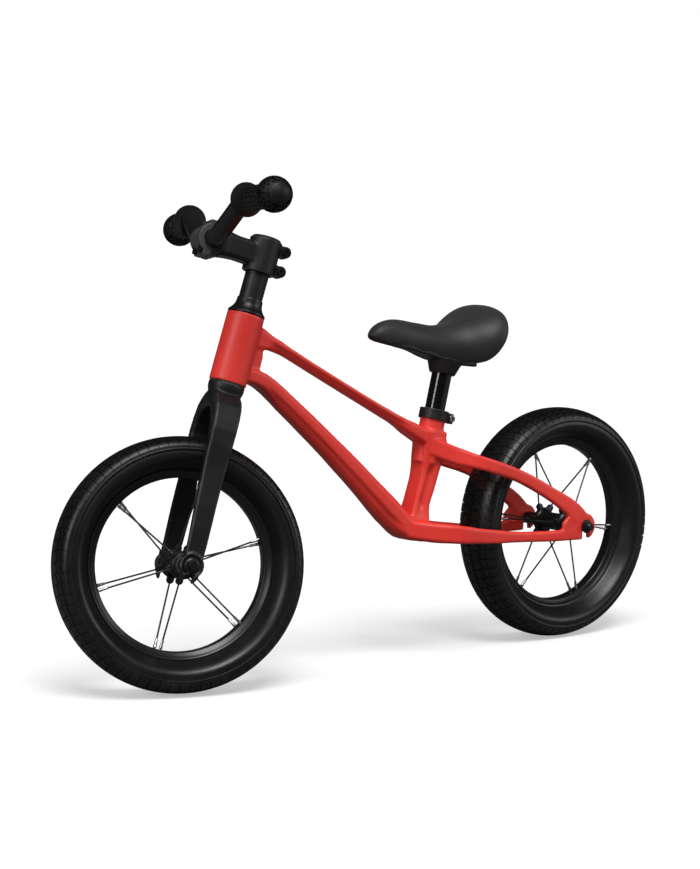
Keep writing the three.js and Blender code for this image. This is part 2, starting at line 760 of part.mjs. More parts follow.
function seatCollar() {
  const outer = seatTubeRadius + gap + collarThickness;
  const low = 0.5 - collarHeight;
  const ring = rod(onSeat(low), onSeat(0.5), outer, 28);
  const ears = new THREE.BoxGeometry(15, 9, collarHeight).translate(-outer - 4, 0, low + collarHeight / 2);
  ears.applyMatrix4(seatPlace);
  const bore = rod(onSeat(low - 2), onSeat(3), seatTubeRadius + gap, 28);
  const slit = new THREE.BoxGeometry(24, 2, 60).translate(-outer - 4, 0, 0).applyMatrix4(seatPlace);
  const boltHole = rod(v(-outer - 6, -20, collarBoltAt), v(-outer - 6, 20, collarBoltAt), boltRadius + gap, 14);
  const cuts = [bore, slit, boltHole.applyMatrix4(seatPlace)];
  return cuts.map(solid).reduce((a, b) => a.subtract(b), join(ring, ears));
}

const collarBoltAt = 0.5 - collarHeight / 2;
const seatPlace = new THREE.Matrix4().makeTranslation(seatMouth)
  .multiply(new THREE.Matrix4().makeRotationY(rad(seatAngle - 90)));

function collarBolt() {
  const at = -seatTubeRadius - gap - collarThickness - 6;
  const screw = toGeometry(socketScrew(v(at, 4.5 + gap + 4, collarBoltAt), v(0, -1, 0), 16));
  return screw.applyMatrix4(seatPlace);
}

// seat cushion: a rounded body whose half width, and top and bottom above the cup, change from
// the tail (reach 0) to the nose
const saddleStations = [
  { reach: 0, half: 24, top: 71, low: 50 },
  { reach: 11, half: saddleHalfWidth - 15, top: 80.5, low: 33 },
  { reach: 27, half: saddleHalfWidth - 1, top: 84, low: 19 },
  { reach: 52, half: saddleHalfWidth - 6, top: 73.5, low: 12 },
  { reach: 76, half: saddleHalfWidth * 0.69, top: 62.5, low: 12 },
  { reach: 103, half: saddleNoseHalf + 9, top: 60, low: 18 },
  { reach: 135, half: saddleNoseHalf + 2, top: 64.5, low: 29 },
  { reach: saddleLength - 38, half: saddleNoseHalf, top: 70, low: 38 },
  { reach: saddleLength - 11, half: saddleNoseHalf - 4, top: 64, low: 43 },
  { reach: saddleLength, half: 8, top: 55, low: 46 },
];

function saddleSection(reach) {
  const i = Math.max(1, saddleStations.findIndex((s) => s.reach >= reach - 1e-6));
  const [a, b] = [saddleStations[i - 1], saddleStations[i]];
  const t = THREE.MathUtils.smootherstep((reach - a.reach) / (b.reach - a.reach), 0, 1);
  const mix = (key) => THREE.MathUtils.lerp(a[key], b[key], t);
  return { half: mix("half"), top: cupHeight + mix("top"), low: cupHeight + mix("low") };
}

function saddlePad() {
  const g = new THREE.CylinderGeometry(1, 1, 1, 16, 20);
  const spot = g.attributes.position;
  for (let i = 0; i < spot.count; i += 1) {
    const reach = (spot.getY(i) + 0.5) * saddleLength;
    const s = saddleSection(reach);
    const round = Math.hypot(spot.getX(i), spot.getZ(i));
    const angle = Math.atan2(spot.getX(i), spot.getZ(i));
    const y = Math.sin(angle) * s.half * round;
    const lift = Math.cos(angle) * round;
    const middle = s.low + (s.top - s.low) * 0.42;
    const z = lift > 0 ? middle + lift * (s.top - middle) : middle + lift * (middle - s.low);
    spot.setXYZ(i, saddleTail + reach, -y, z);
  }
  return g;
}

// base tray under the cushion with the cup that takes the post
function saddleBase() {
  const cushion = solid(saddlePad());
  const reaches = [52, 70, 92, 120, 150, 178];
  const tray = limb(reaches.map((reach) => {
    const s = saddleSection(reach);
    return station(saddleTail + reach, 0, s.low + 1, s.half * 0.5, 4);
  }), v(0, 1, 0), 2, 0.3);
  const cupLow = seatPostTopAlong - cupDepth;
  const cup = rod(onSeat(cupLow), onSeat(cupLow + 20), seatPostRadius + 3.5, 28, seatPostRadius + 11);
  const bore = rod(onSeat(cupLow - 5), onSeat(seatPostTopAlong + gap), seatPostRadius + gap, 28);
  const room = cushion.translate(0, 0, -gap);
  const body = join(tray, cup).subtract(solid(bore)).subtract(cushion).subtract(room);
  return body.decompose().sort((a, b) => b.volume() - a.volume())[0];
}

// ---------- assembly ----------

function addFrameAndSeat() {
  addPiece("frame", frame(), paint.frame);
  addPiece("seat_post", seatPost(), paint.blackGloss);
  addPiece("seat_clamp_collar", seatCollar(), paint.blackMetal);
  addPiece("seat_clamp_bolt", collarBolt(), paint.steel);
  addPiece("saddle_base", saddleBase(), paint.plastic);
  addPiece("saddle_cushion", saddlePad(), paint.foam);
}

function addSteering() {
  addPiece("headset_bearing_lower", inHead(headBearing(headTubeBottom + gap)), paint.steel);
  addPiece("headset_bearing_upper", inHead(headBearing(headTubeTop - headBearingDepth + gap)), paint.steel);
  addSteered("headset_cover", headsetCover(), paint.plastic);
  addSteered("fork", fork(), paint.blackMetal);
  addSteered("steerer_top_cap", topCap(), paint.plastic);
  addSteered("stem", stemBody(), paint.blackMetal);
  addSteered("stem_faceplate", faceplate(), paint.alloy);
  addSteered("handlebar", handlebar(), paint.blackMetal);
  addSteered("grip_left", grip(1), paint.rubber);
  addSteered("grip_right", grip(-1), paint.rubber);
  stemBoltHeights.forEach((z, i) => {
    const top = v(earBoltAt, earHalf + gap + 4, z);
    addSteered(`stem_clamp_bolt_${i + 1}`, socketScrew(top, v(0, -1, 0), 20), paint.steel);
  });
  faceBoltSpots.forEach(([y, z], i) => {
    const top = v(stemReach + 8 + gap + 4, y, z);
    addSteered(`faceplate_bolt_${i + 1}`, socketScrew(top, v(-1, 0, 0), 24), paint.steel);
  });
}

addFrameAndSeat();
addSteering();

const frontAt = new THREE.Matrix4().makeTranslation(forkRake, 0, 0);
const frontSeat = forkInnerHalf + forkEndThickness + bossRise - recessDepth + gap;
addWheel("front", (name, shape, look) => {
  const g = shape.isBufferGeometry ? shape : toGeometry(shape);
  addSteered(name, g.applyMatrix4(frontAt), look);
}, frontSpokeTurn, frontSeat, forkInnerHalf - gap);

addWheel("rear", (name, shape, look) => {
  const g = shape.isBufferGeometry ? shape : toGeometry(shape);
  addPiece(name, g.translate(0, 0, tyreRadius), look);
}, rearSpokeTurn, dropoutInner + dropoutThickness + gap, dropoutInner - gap);

// the origin goes to the ground under the middle of the bike's outline
const outline = new THREE.Box3().setFromObject(bike);
const middle = outline.getCenter(v(0, 0, 0));
for (const mesh of bike.children) {
  mesh.geometry.translate(-middle.x, -middle.y, -outline.min.z);
}

export default bike;
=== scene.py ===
import json
import math
import bpy
from mathutils import Matrix, Vector


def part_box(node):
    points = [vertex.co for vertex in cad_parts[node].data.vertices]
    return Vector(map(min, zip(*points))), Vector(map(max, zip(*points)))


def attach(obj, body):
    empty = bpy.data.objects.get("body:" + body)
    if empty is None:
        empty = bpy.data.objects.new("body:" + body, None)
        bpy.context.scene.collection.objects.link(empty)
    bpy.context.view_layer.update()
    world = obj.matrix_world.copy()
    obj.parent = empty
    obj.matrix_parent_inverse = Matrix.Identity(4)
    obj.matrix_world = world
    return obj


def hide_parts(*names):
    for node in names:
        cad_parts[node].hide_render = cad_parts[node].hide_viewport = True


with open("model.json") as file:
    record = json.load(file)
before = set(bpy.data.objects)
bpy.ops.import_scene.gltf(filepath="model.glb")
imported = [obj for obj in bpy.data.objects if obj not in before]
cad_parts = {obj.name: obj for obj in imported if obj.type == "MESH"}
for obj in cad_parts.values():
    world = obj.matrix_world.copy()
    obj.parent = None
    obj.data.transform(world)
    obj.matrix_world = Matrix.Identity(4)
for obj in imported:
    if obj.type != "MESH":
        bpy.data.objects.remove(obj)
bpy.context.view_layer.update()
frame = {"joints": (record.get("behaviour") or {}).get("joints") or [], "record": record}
joints = {j["name"]: j for j in frame["joints"]}
bodies = frame["record"]["behaviour"]["bodies"]
mm = 0.001
print("stage: packed frame loaded")

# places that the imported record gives
steerAxis = Vector(joints["steer"]["axis"]).normalized()
frontSide = Vector(joints["front_wheel_spin"]["axis"]).normalized()
frontAxle = Vector(joints["front_wheel_spin"]["pos_m"])
rearAxle = Vector(joints["rear_wheel_spin"]["pos_m"])
barMiddle = Vector(joints["bar_roll"]["pos_m"])
seatAxis = Vector(joints["seat_height"]["axis"]).normalized()


def setAlong(place, along, ahead):
    # a place whose Z runs along a part's own axis
    z = along.normalized()
    y = z.cross(ahead).normalized()
    turn = Matrix((y.cross(z), y, z)).transposed().to_4x4()
    return Matrix.Translation(place) @ turn


frontAhead = frontSide.cross(steerAxis).normalized()
frontWheelPlace = setAlong(frontAxle, frontSide, frontAhead)
rearWheelPlace = setAlong(rearAxle, Vector((0, 1, 0)), Vector((1, 0, 0)))
stemPlace = setAlong(barMiddle, steerAxis, frontAhead)

# shader groups shared by the finishes


def newGroup(name, inputs, outputs):
    tree = bpy.data.node_groups.new(name, "ShaderNodeTree")
    for label, kind, value in inputs:
        socket = tree.interface.new_socket(name=label, in_out="INPUT", socket_type=kind)
        socket.default_value = value
    for label, kind in outputs:
        tree.interface.new_socket(name=label, in_out="OUTPUT", socket_type=kind)
    return tree, tree.nodes.new("NodeGroupInput"), tree.nodes.new("NodeGroupOutput")


def wire(tree, a, b):
    tree.links.new(a, b)


def mapRange(tree, value, low, high, toLow=0.0, toHigh=1.0):
    node = tree.nodes.new("ShaderNodeMapRange")
    wire(tree, value, node.inputs["Value"])
    for name, v in (("From Min", low), ("From Max", high), ("To Min", toLow), ("To Max", toHigh)):
        if isinstance(v, (int, float)):
            node.inputs[name].default_value = v
        else:
            wire(tree, v, node.inputs[name])
    return node.outputs["Result"]


def makeGrainGroup():
    # fine grain and slow mottling from noise in the piece's own space
    number = "NodeSocketFloat"
    tree, gin, gout = newGroup("fineGrain", [
        ("Grain Scale", number, 900.0), ("Mottle Scale", number, 14.0),
        ("Rough Low", number, 0.4), ("Rough High", number, 0.6)],
        [("Grain", number), ("Mottle", number), ("Roughness", number)])
    spot = tree.nodes.new("ShaderNodeTexCoord")
    grain = tree.nodes.new("ShaderNodeTexNoise")
    grain.inputs["Detail"].default_value = 3.0
    mottle = tree.nodes.new("ShaderNodeTexNoise")
    mottle.inputs["Detail"].default_value = 4.0
    mottle.inputs["Roughness"].default_value = 0.6
    for node, scale in ((grain, "Grain Scale"), (mottle, "Mottle Scale")):
        wire(tree, spot.outputs["Object"], node.inputs["Vector"])
        wire(tree, gin.outputs[scale], node.inputs["Scale"])
    soft = mapRange(tree, mottle.outputs["Fac"], 0.3, 0.7)
    both = tree.nodes.new("ShaderNodeMath")
    both.operation = "MULTIPLY_ADD"
    wire(tree, grain.outputs["Fac"], both.inputs[0])
    both.inputs[1].default_value = 0.3
    wire(tree, mapRange(tree, soft, 0, 1, 0, 0.7), both.inputs[2])
    rough = mapRange(tree, both.outputs[0], 0, 1,
                     gin.outputs["Rough Low"], gin.outputs["Rough High"])
    wire(tree, grain.outputs["Fac"], gout.inputs["Grain"])
    wire(tree, soft, gout.inputs["Mottle"])
    wire(tree, rough, gout.inputs["Roughness"])
    return tree


def makeEdgeHighlightGroup():
    # painted highlight: a lighter colour on sharp, proud edges (high pointiness), broken up by noise
    number = "NodeSocketFloat"
    tree, gin, gout = newGroup("edgeWear", [
        ("Edge Low", number, 0.51), ("Edge High", number, 0.56), ("Break Scale", number, 60.0)],
        [("Wear", number)])
    shape = tree.nodes.new("ShaderNodeNewGeometry")
    spot = tree.nodes.new("ShaderNodeTexCoord")
    noise = tree.nodes.new("ShaderNodeTexNoise")
    noise.inputs["Detail"].default_value = 5.0
    wire(tree, spot.outputs["Object"], noise.inputs["Vector"])
    wire(tree, gin.outputs["Break Scale"], noise.inputs["Scale"])
    edge = mapRange(tree, shape.outputs["Pointiness"],
                    gin.outputs["Edge Low"], gin.outputs["Edge High"])
    broken = mapRange(tree, noise.outputs["Fac"], 0.35, 0.6)
    mask = tree.nodes.new("ShaderNodeMath")
    mask.operation = "MULTIPLY"
    wire(tree, edge, mask.inputs[0])
    wire(tree, broken, mask.inputs[1])
    wire(tree, mask.outputs[0], gout.inputs["Wear"])
    return tree


def makeDustGroup():
    # pale dust that gathers low down on the bike
    number = "NodeSocketFloat"
    tree, gin, gout = newGroup("lowDust", [
        ("Height", number, 0.12), ("Amount", number, 0.3), ("Patch Scale", number, 30.0)],
        [("Dust", number)])
    spot = tree.nodes.new("ShaderNodeTexCoord")
    apart = tree.nodes.new("ShaderNodeSeparateXYZ")
    noise = tree.nodes.new("ShaderNodeTexNoise")
    noise.inputs["Detail"].default_value = 6.0
    wire(tree, spot.outputs["Object"], apart.inputs[0])
    wire(tree, spot.outputs["Object"], noise.inputs["Vector"])
    wire(tree, gin.outputs["Patch Scale"], noise.inputs["Scale"])
    low = mapRange(tree, apart.outputs["Z"], gin.outputs["Height"], 0.0)
    patch = mapRange(tree, noise.outputs["Fac"], 0.42, 0.68)
    first = tree.nodes.new("ShaderNodeMath")
    first.operation = "MULTIPLY"
    wire(tree, low, first.inputs[0])
    wire(tree, patch, first.inputs[1])
    second = tree.nodes.new("ShaderNodeMath")
    second.operation = "MULTIPLY"
    wire(tree, first.outputs[0], second.inputs[0])
    wire(tree, gin.outputs["Amount"], second.inputs[1])
    wire(tree, second.outputs[0], gout.inputs["Dust"])
    return tree


grainGroup = makeGrainGroup()
edgeHighlightGroup = makeEdgeHighlightGroup()
dustGroup = makeDustGroup()


def useGroup(tree, group, **values):
    node = tree.nodes.new("ShaderNodeGroup")
    node.node_tree = group
    for key, value in values.items():
        node.inputs[key].default_value = value
    return node


def blend(tree, factor, a, b):
    node = tree.nodes.new("ShaderNodeMix")
    node.data_type = "RGBA"
    wire(tree, factor, node.inputs["Factor"])
    for value, socket in ((a, node.inputs[6]), (b, node.inputs[7])):
        if isinstance(value, tuple):
            socket.default_value = value + (1,)
        else:
            wire(tree, value, socket)
    return node.outputs[2]


dustColor = (0.2, 0.18, 0.16)


def makeFinish(name, s):
    mat = bpy.data.materials.new(name)
    mat.use_nodes = True
    tree = mat.node_tree
    shader = tree.nodes["Principled BSDF"]
    grain = useGroup(tree, grainGroup, **{
        "Grain Scale": s["grainScale"], "Rough Low": s["rough"][0], "Rough High": s["rough"][1]})
    color = blend(tree, grain.outputs["Mottle"], s["dark"], s["light"])
    # sharp edges take the finish's edge colour as a painted highlight
    if "edge" in s:
        edgeHighlight = useGroup(tree, edgeHighlightGroup, **{"Edge Low": 0.515, "Edge High": 0.58})
        color = blend(tree, edgeHighlight.outputs["Wear"], color, s["edge"])
    if "dust" in s:
        dust = useGroup(tree, dustGroup, Amount=s["dust"])
        color = blend(tree, dust.outputs["Dust"], color, dustColor)
    wire(tree, color, shader.inputs["Base Color"])
    wire(tree, grain.outputs["Roughness"], shader.inputs["Roughness"])
    shader.inputs["Metallic"].default_value = s.get("metal", 0.0)
    shader.inputs["Specular IOR Level"].default_value = s.get("specular", 0.5)
    shader.inputs["Coat Weight"].default_value = s.get("coat", 0.0)
    shader.inputs["Coat Roughness"].default_value = s.get("coatRough", 0.15)
    if "sheen" in s:
        shader.inputs["Sheen Weight"].default_value = s["sheen"]
        shader.inputs["Sheen Roughness"].default_value = 0.45
    bump = tree.nodes.new("ShaderNodeBump")
    bump.inputs["Strength"].default_value = s.get("bump", 0.15)
    bump.inputs["Distance"].default_value = s.get("bumpDepth", 0.0004)
    wire(tree, grain.outputs["Grain"], bump.inputs["Height"])
    wire(tree, bump.outputs["Normal"], shader.inputs["Normal"])
    return mat


# an edge colour is a painted highlight laid on sharp edges, lighter than the finish itself
finishes = {
    "redPaint": {"dark": (0.72, 0.026, 0.017), "light": (0.80, 0.038, 0.025), "edge": (0.80, 0.11, 0.08),
                 "rough": (0.40, 0.52), "grainScale": 1400.0, "bump": 0.10, "bumpDepth": 0.0002,
                 "coat": 0.1, "coatRough": 0.4, "specular": 0.5},
    "tyreRubber": {"dark": (0.0025, 0.0025, 0.0027), "light": (0.005, 0.005, 0.0053), "rough": (0.32, 0.46),
                   "grainScale": 1100.0, "bump": 0.3, "dust": 0.05, "specular": 0.5},
    "rimBlack": {"dark": (0.004, 0.004, 0.0045), "light": (0.007, 0.007, 0.0075), "rough": (0.26, 0.4),
                 "grainScale": 1500.0, "bump": 0.06, "specular": 0.5},
    "hubBlack": {"dark": (0.006, 0.006, 0.006), "light": (0.012, 0.012, 0.012), "rough": (0.25, 0.45),
                 "grainScale": 1500.0, "bump": 0.08, "metal": 0.3},
    "spokeSteel": {"dark": (0.05, 0.05, 0.053), "light": (0.10, 0.10, 0.105), "rough": (0.25, 0.4),
                   "grainScale": 1500.0, "metal": 0.85, "bump": 0.05},
    "nippleSteel": {"dark": (0.42, 0.42, 0.43), "light": (0.62, 0.62, 0.63), "rough": (0.2, 0.34),
                    "grainScale": 1500.0, "metal": 1.0, "bump": 0.05},
    "boltSteel": {"dark": (0.30, 0.30, 0.31), "light": (0.5, 0.5, 0.51), "rough": (0.22, 0.4),
                  "grainScale": 1600.0, "metal": 1.0, "bump": 0.08},
    "boltBlack": {"dark": (0.010, 0.010, 0.010), "light": (0.022, 0.022, 0.022), "rough": (0.28, 0.45),
                  "grainScale": 1600.0, "metal": 0.5, "bump": 0.08},
    "forkBlack": {"dark": (0.004, 0.004, 0.0044), "light": (0.0075, 0.0075, 0.008), "edge": (0.10, 0.10, 0.10),
                  "rough": (0.38, 0.52), "grainScale": 1300.0, "bump": 0.12, "specular": 0.45},
    "stemBlack": {"dark": (0.006, 0.006, 0.0064), "light": (0.011, 0.011, 0.0115), "edge": (0.09, 0.09, 0.09),
                  "rough": (0.36, 0.5), "grainScale": 1300.0, "bump": 0.14, "specular": 0.5},
    "faceGrey": {"dark": (0.055, 0.056, 0.058), "light": (0.085, 0.086, 0.089), "edge": (0.22, 0.22, 0.22),
                 "rough": (0.34, 0.5), "grainScale": 1300.0, "bump": 0.12, "metal": 0.35},
    "barBlack": {"dark": (0.004, 0.004, 0.0042), "light": (0.007, 0.007, 0.0074), "rough": (0.3, 0.42),
                 "grainScale": 1300.0, "bump": 0.1, "specular": 0.5},
    "gripRubber": {"dark": (0.003, 0.003, 0.0032), "light": (0.006, 0.006, 0.006), "rough": (0.4, 0.56),
                   "grainScale": 1000.0, "bump": 0.25, "specular": 0.35},
    "saddleSkin": {"dark": (0.014, 0.014, 0.0155), "light": (0.022, 0.022, 0.024), "rough": (0.44, 0.58),
                   "grainScale": 1200.0, "bump": 0.22, "specular": 0.4, "sheen": 0.12},
    "basePlastic": {"dark": (0.005, 0.005, 0.0053), "light": (0.009, 0.009, 0.0095), "rough": (0.42, 0.6),
                    "grainScale": 1000.0, "bump": 0.2},
    "postGloss": {"dark": (0.0022, 0.0022, 0.0024), "light": (0.004, 0.004, 0.004), "rough": (0.08, 0.18),
                  "grainScale": 1500.0, "bump": 0.03, "coat": 0.6, "coatRough": 0.06},
    "coverPlastic": {"dark": (0.0045, 0.0045, 0.005), "light": (0.008, 0.008, 0.0085), "rough": (0.3, 0.46),
                     "grainScale": 1100.0, "bump": 0.14},
}
mats = {name: makeFinish(name, s) for name, s in finishes.items()}
print("stage: finishes made")

# small helpers for modelling


def clearPick():
    if bpy.context.mode != "OBJECT":
        bpy.ops.object.mode_set(mode="OBJECT")
    bpy.ops.object.select_all(action="DESELECT")


def pick(obj):
    clearPick()
    obj.select_set(True)
    bpy.context.view_layer.objects.active = obj


def edit(obj, kind="FACE"):
    pick(obj)
    bpy.ops.object.mode_set(mode="EDIT")
    bpy.ops.mesh.select_mode(type=kind)


def leaveEdit():
    bpy.ops.object.mode_set(mode="OBJECT")


def editAll(obj, kind="FACE"):
    edit(obj, kind)
    bpy.ops.mesh.select_all(action="SELECT")


def selectNone(obj, kind="FACE"):
    edit(obj, kind)
    bpy.ops.mesh.select_all(action="DESELECT")
    leaveEdit()


def spotsOf(node):
    return [v.co.copy() for v in bpy.data.objects[node].data.vertices]


def middleOf(spots):
    return sum(spots, Vector()) / len(spots)


def mergeAndFace(obj, reach=0.00002):
    editAll(obj)
    bpy.ops.mesh.remove_doubles(threshold=reach)
    bpy.ops.mesh.normals_make_consistent(inside=False)
    leaveEdit()


def applyAll(obj):
    pick(obj)
    for m in list(obj.modifiers):
        bpy.ops.object.modifier_apply(modifier=m.name)


def settle(obj, place):
    obj.data.transform(place)
    obj.data.update()


def smoothShade(obj, angle=35):
    pick(obj)
    bpy.ops.object.shade_smooth_by_angle(angle=math.radians(angle))


def dress(obj, finish, body, replaced=()):
    obj.data.materials.clear()
    obj.data.materials.append(mats[finish])
    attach(obj, body)
    if replaced:
        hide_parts(*replaced)


def addBevel(obj, width, segments=2, angle=30):
    m = obj.modifiers.new("softEdge", "BEVEL")
    m.width = width
    m.segments = segments
    m.limit_method = "ANGLE"
    m.angle_limit = math.radians(angle)


def spunShape(label, corners, steps, closed=True):
    # outline of (radius, along) points in mm, spun about Z
    clearPick()
    bpy.ops.mesh.primitive_circle_add(vertices=len(corners), radius=mm, fill_type="NOTHING")
    obj = bpy.context.object
    obj.name = label
    for vert, (radius, along) in zip(obj.data.vertices, corners):
        vert.co = Vector((radius, 0, along)) * mm
    if not closed:
        selectNone(obj, "EDGE")
        last = len(corners) - 1
        edge = next(e for e in obj.data.edges if set(e.vertices) == {0, last})
        edge.select = True
        edit(obj, "EDGE")
        bpy.ops.mesh.delete(type="EDGE")
        leaveEdit()
    editAll(obj, "VERT")
    bpy.ops.mesh.spin(steps=steps, angle=2 * math.pi, center=(0, 0, 0), axis=(0, 0, 1))
    leaveEdit()
    mergeAndFace(obj)
    return obj


def roundedOutline(corners, radius, steps=3, closed=True):
    # the same outline with its corners rounded
    out = []
    count = len(corners)
    for i, (r, h) in enumerate(corners):
        here = Vector((r, h))
        if not closed and i in (0, count - 1):
            out.append((r, h))
            continue
        before = Vector(corners[i - 1]) - here
        after = Vector(corners[(i + 1) % count]) - here
        cut = min(radius, before.length * 0.45, after.length * 0.45)
        a = here + before.normalized() * cut
        b = here + after.normalized() * cut
        for k in range(steps + 1):
            t = k / steps
            p = a * (1 - t) ** 2 + here * (2 * t * (1 - t)) + b * t ** 2
            out.append((p.x, p.y))
    return out


def copyOf(node, label):
    source = bpy.data.objects[node]
    obj = bpy.data.objects.new(label, source.data.copy())
    bpy.context.scene.collection.objects.link(obj)
    mergeAndFace(obj)
    return obj


def remesh(obj, voxel):
    m = obj.modifiers.new("skin", "REMESH")
    m.mode = "VOXEL"
    m.voxel_size = voxel * mm
    applyAll(obj)


def ease(obj, softness, rounds):
    m = obj.modifiers.new("ease", "SMOOTH")
    m.factor = softness
    m.iterations = rounds
    applyAll(obj)


def cutAway(obj, key):
    # takes the shape of `key` out of the piece
    cut = obj.modifiers.new("cut", "BOOLEAN")
    cut.operation = "DIFFERENCE"
    cut.solver = "EXACT"
    cut.object = key
    applyAll(obj)
    bpy.data.objects.remove(key)


def tube(label, points, radius, sides=8, smooth=True):
    data = bpy.data.curves.new(label, "CURVE")
    data.dimensions = "3D"
    data.bevel_depth = radius * mm
    data.bevel_resolution = max(sides // 4 - 1, 0)
    data.use_fill_caps = True
    data.resolution_u = 8
    line = data.splines.new("BEZIER" if smooth else "POLY")
    if smooth:
        line.bezier_points.add(len(points) - 1)
        for spot, p in zip(line.bezier_points, points):
            spot.co = p
            spot.handle_left_type = spot.handle_right_type = "AUTO"
    else:
        line.points.add(len(points) - 1)
        for spot, p in zip(line.points, points):
            spot.co = (*p, 1)
    obj = bpy.data.objects.new(label, data)
    bpy.context.scene.collection.objects.link(obj)
    pick(obj)
    bpy.ops.object.convert(target="MESH")
    mergeAndFace(obj)
    return obj


def joinPieces(label, pieces):
    clearPick()
    for p in pieces:
        p.select_set(True)
    bpy.context.view_layer.objects.active = pieces[0]
    bpy.ops.object.join()
    pieces[0].name = label
    return pieces[0]


# camera, floor and light

cameraSetup = {"fromRearAxle": (2.3958, 2.4869, 0.4720), "heading": 140.52, "down": 5.95, "roll": 0.242,
               "lens": 109.91}


def makeCamera(s):
    data = bpy.data.cameras.new("camera")
    data.lens = s["lens"]
    data.sensor_width = 36
    data.clip_end = 80
    cam = bpy.data.objects.new("camera", data)
    bpy.context.scene.collection.objects.link(cam)
    turn = Matrix.Rotation(math.radians(s["heading"]), 4, "Z")
    turn = turn @ Matrix.Rotation(math.radians(90 - s["down"]), 4, "X")
    turn = turn @ Matrix.Rotation(math.radians(s["roll"]), 4, "Z")
    cam.matrix_world = Matrix.Translation(rearAxle + Vector(s["fromRearAxle"])) @ turn
    bpy.context.scene.camera = cam


roomSetup = {"floorSize": 60, "floorDrop": 0.0004, "floorTone": 0.6, "floorGlow": 0.42, "bounceTone": 0.12,
             "backdrop": 1.0, "surround": 0.34, "mirrored": 0.03}


def makeRoom(s):
    bpy.ops.mesh.primitive_plane_add(size=s["floorSize"], location=(0, 0, -s["floorDrop"]))
    floor = bpy.context.object
    floor.name = "floor"
    mat = bpy.data.materials.new("paleFloor")
    mat.use_nodes = True
    shader = mat.node_tree.nodes["Principled BSDF"]
    shader.inputs["Roughness"].default_value = 0.7
    shader.inputs["Specular IOR Level"].default_value = 0.1
    path = mat.node_tree.nodes.new("ShaderNodeLightPath")
    seen = mat.node_tree.nodes.new("ShaderNodeMix")
    seen.data_type = "RGBA"
    wire(mat.node_tree, path.outputs["Is Camera Ray"], seen.inputs["Factor"])
    seen.inputs[6].default_value = (s["bounceTone"],) * 3 + (1,)
    seen.inputs[7].default_value = (s["floorTone"],) * 3 + (1,)
    wire(mat.node_tree, seen.outputs[2], shader.inputs["Base Color"])
    shader.inputs["Emission Color"].default_value = (1, 1, 1, 1)
    glow = mapRange(mat.node_tree, path.outputs["Is Camera Ray"], 0, 1, 0, s["floorGlow"])
    wire(mat.node_tree, glow, shader.inputs["Emission Strength"])
    floor.data.materials.append(mat)
    world = bpy.data.worlds.new("studio")
    bpy.context.scene.world = world
    world.use_nodes = True
    tree = world.node_tree
    soft = tree.nodes["Background"]
    soft.inputs["Color"].default_value = (1, 1, 1, 1)
    paper = tree.nodes.new("ShaderNodeBackground")
    paper.inputs["Color"].default_value = (1, 1, 1, 1)
    paper.inputs["Strength"].default_value = s["backdrop"]
    path = tree.nodes.new("ShaderNodeLightPath")
    shine = mapRange(tree, path.outputs["Is Glossy Ray"], 0, 1, s["surround"], s["mirrored"])
    wire(tree, shine, soft.inputs["Strength"])
    choose = tree.nodes.new("ShaderNodeMixShader")
    wire(tree, path.outputs["Is Camera Ray"], choose.inputs[0])
    wire(tree, soft.outputs[0], choose.inputs[1])
    wire(tree, paper.outputs[0], choose.inputs[2])
    wire(tree, choose.outputs[0], tree.nodes["World Output"].inputs["Surface"])


lightSetup = {
    "key": {"from": (0.4, 0.8, 1.5), "strength": 2.4, "spread": 30},
    "side": {"from": (1.5, 0.2, 0.7), "strength": 0.85, "spread": 24},
    "back": {"from": (-1.2, 1.1, 0.5), "strength": 0.55, "spread": 30},
}


def makeLights(setup):
    for name, s in setup.items():
        data = bpy.data.lights.new(name, "SUN")
        data.energy = s["strength"]
        data.angle = math.radians(s["spread"])
        lamp = bpy.data.objects.new(name, data)
        bpy.context.scene.collection.objects.link(lamp)
        aim = -Vector(s["from"])
        lamp.matrix_world = aim.to_track_quat("-Z", "Y").to_matrix().to_4x4()


makeCamera(cameraSetup)
makeRoom(roomSetup)
makeLights(lightSetup)
bpy.context.scene.view_settings.view_transform = "Standard"
print("stage: camera, floor and light")

# frame casting

# all in mm from the rear axle: a line is ahead, up, half height;
# a fade is where it starts, its run, where it ends, its run;
# a cut is where it starts, its run, its depth and the slow taper after it
frameLook = {
    "voxel": 1.6, "softness": 0.5, "rounds": 3,
    "sleeve": {"inner": 13.2, "outer": 16.4, "foot": -62, "top": -24},
    "tubeBack": 16.2, "tubeFoot": 123, "seatLean": 3.867,
    "down": {"line": [(520, 221, 9), (487, 209.5, 9.3), (450, 180, 11.5), (400, 138, 12.5), (340, 85, 14.5),
                      (290, 38, 16.5), (262, 15, 14), (240, 6, 11)],
             "from": 262, "to": 492, "slope": 0.9, "lift": 60, "reach": 1.6,
             "fade": (268, 30, 488, 22), "cut": (0.22, 0.1, 0.2, 0.16)},
    "top": {"line": [(493, 260, 14), (469, 251.5, 7.8), (447, 241, 5.6), (420, 226.2, 5.3), (330, 178, 5.3),
                     (280, 152, 5.8), (240, 131, 9)],
            "from": 255, "to": 484, "slope": 0.52, "lift": -12, "reach": 1.7,
            "fade": (258, 24, 482, 16), "cut": (-0.05, 0.15, 0.2, 0.14)},
    "seat": {"line": [(214, 128, 14), (219, 106, 17), (229, 72, 13.5), (239, 45, 12.5), (246, 20, 17)],
             "from": 205, "to": 262, "foot": 28, "head": 96, "reach": 1.3, "fade": (28, 16, 96, 16),
             "hollow": 0.42, "hollowAt": 0.12, "hollowHalf": 0.55},
}


def smoothStep(t):
    t = max(0.0, min(1.0, t))
    return t * t * (3 - 2 * t)


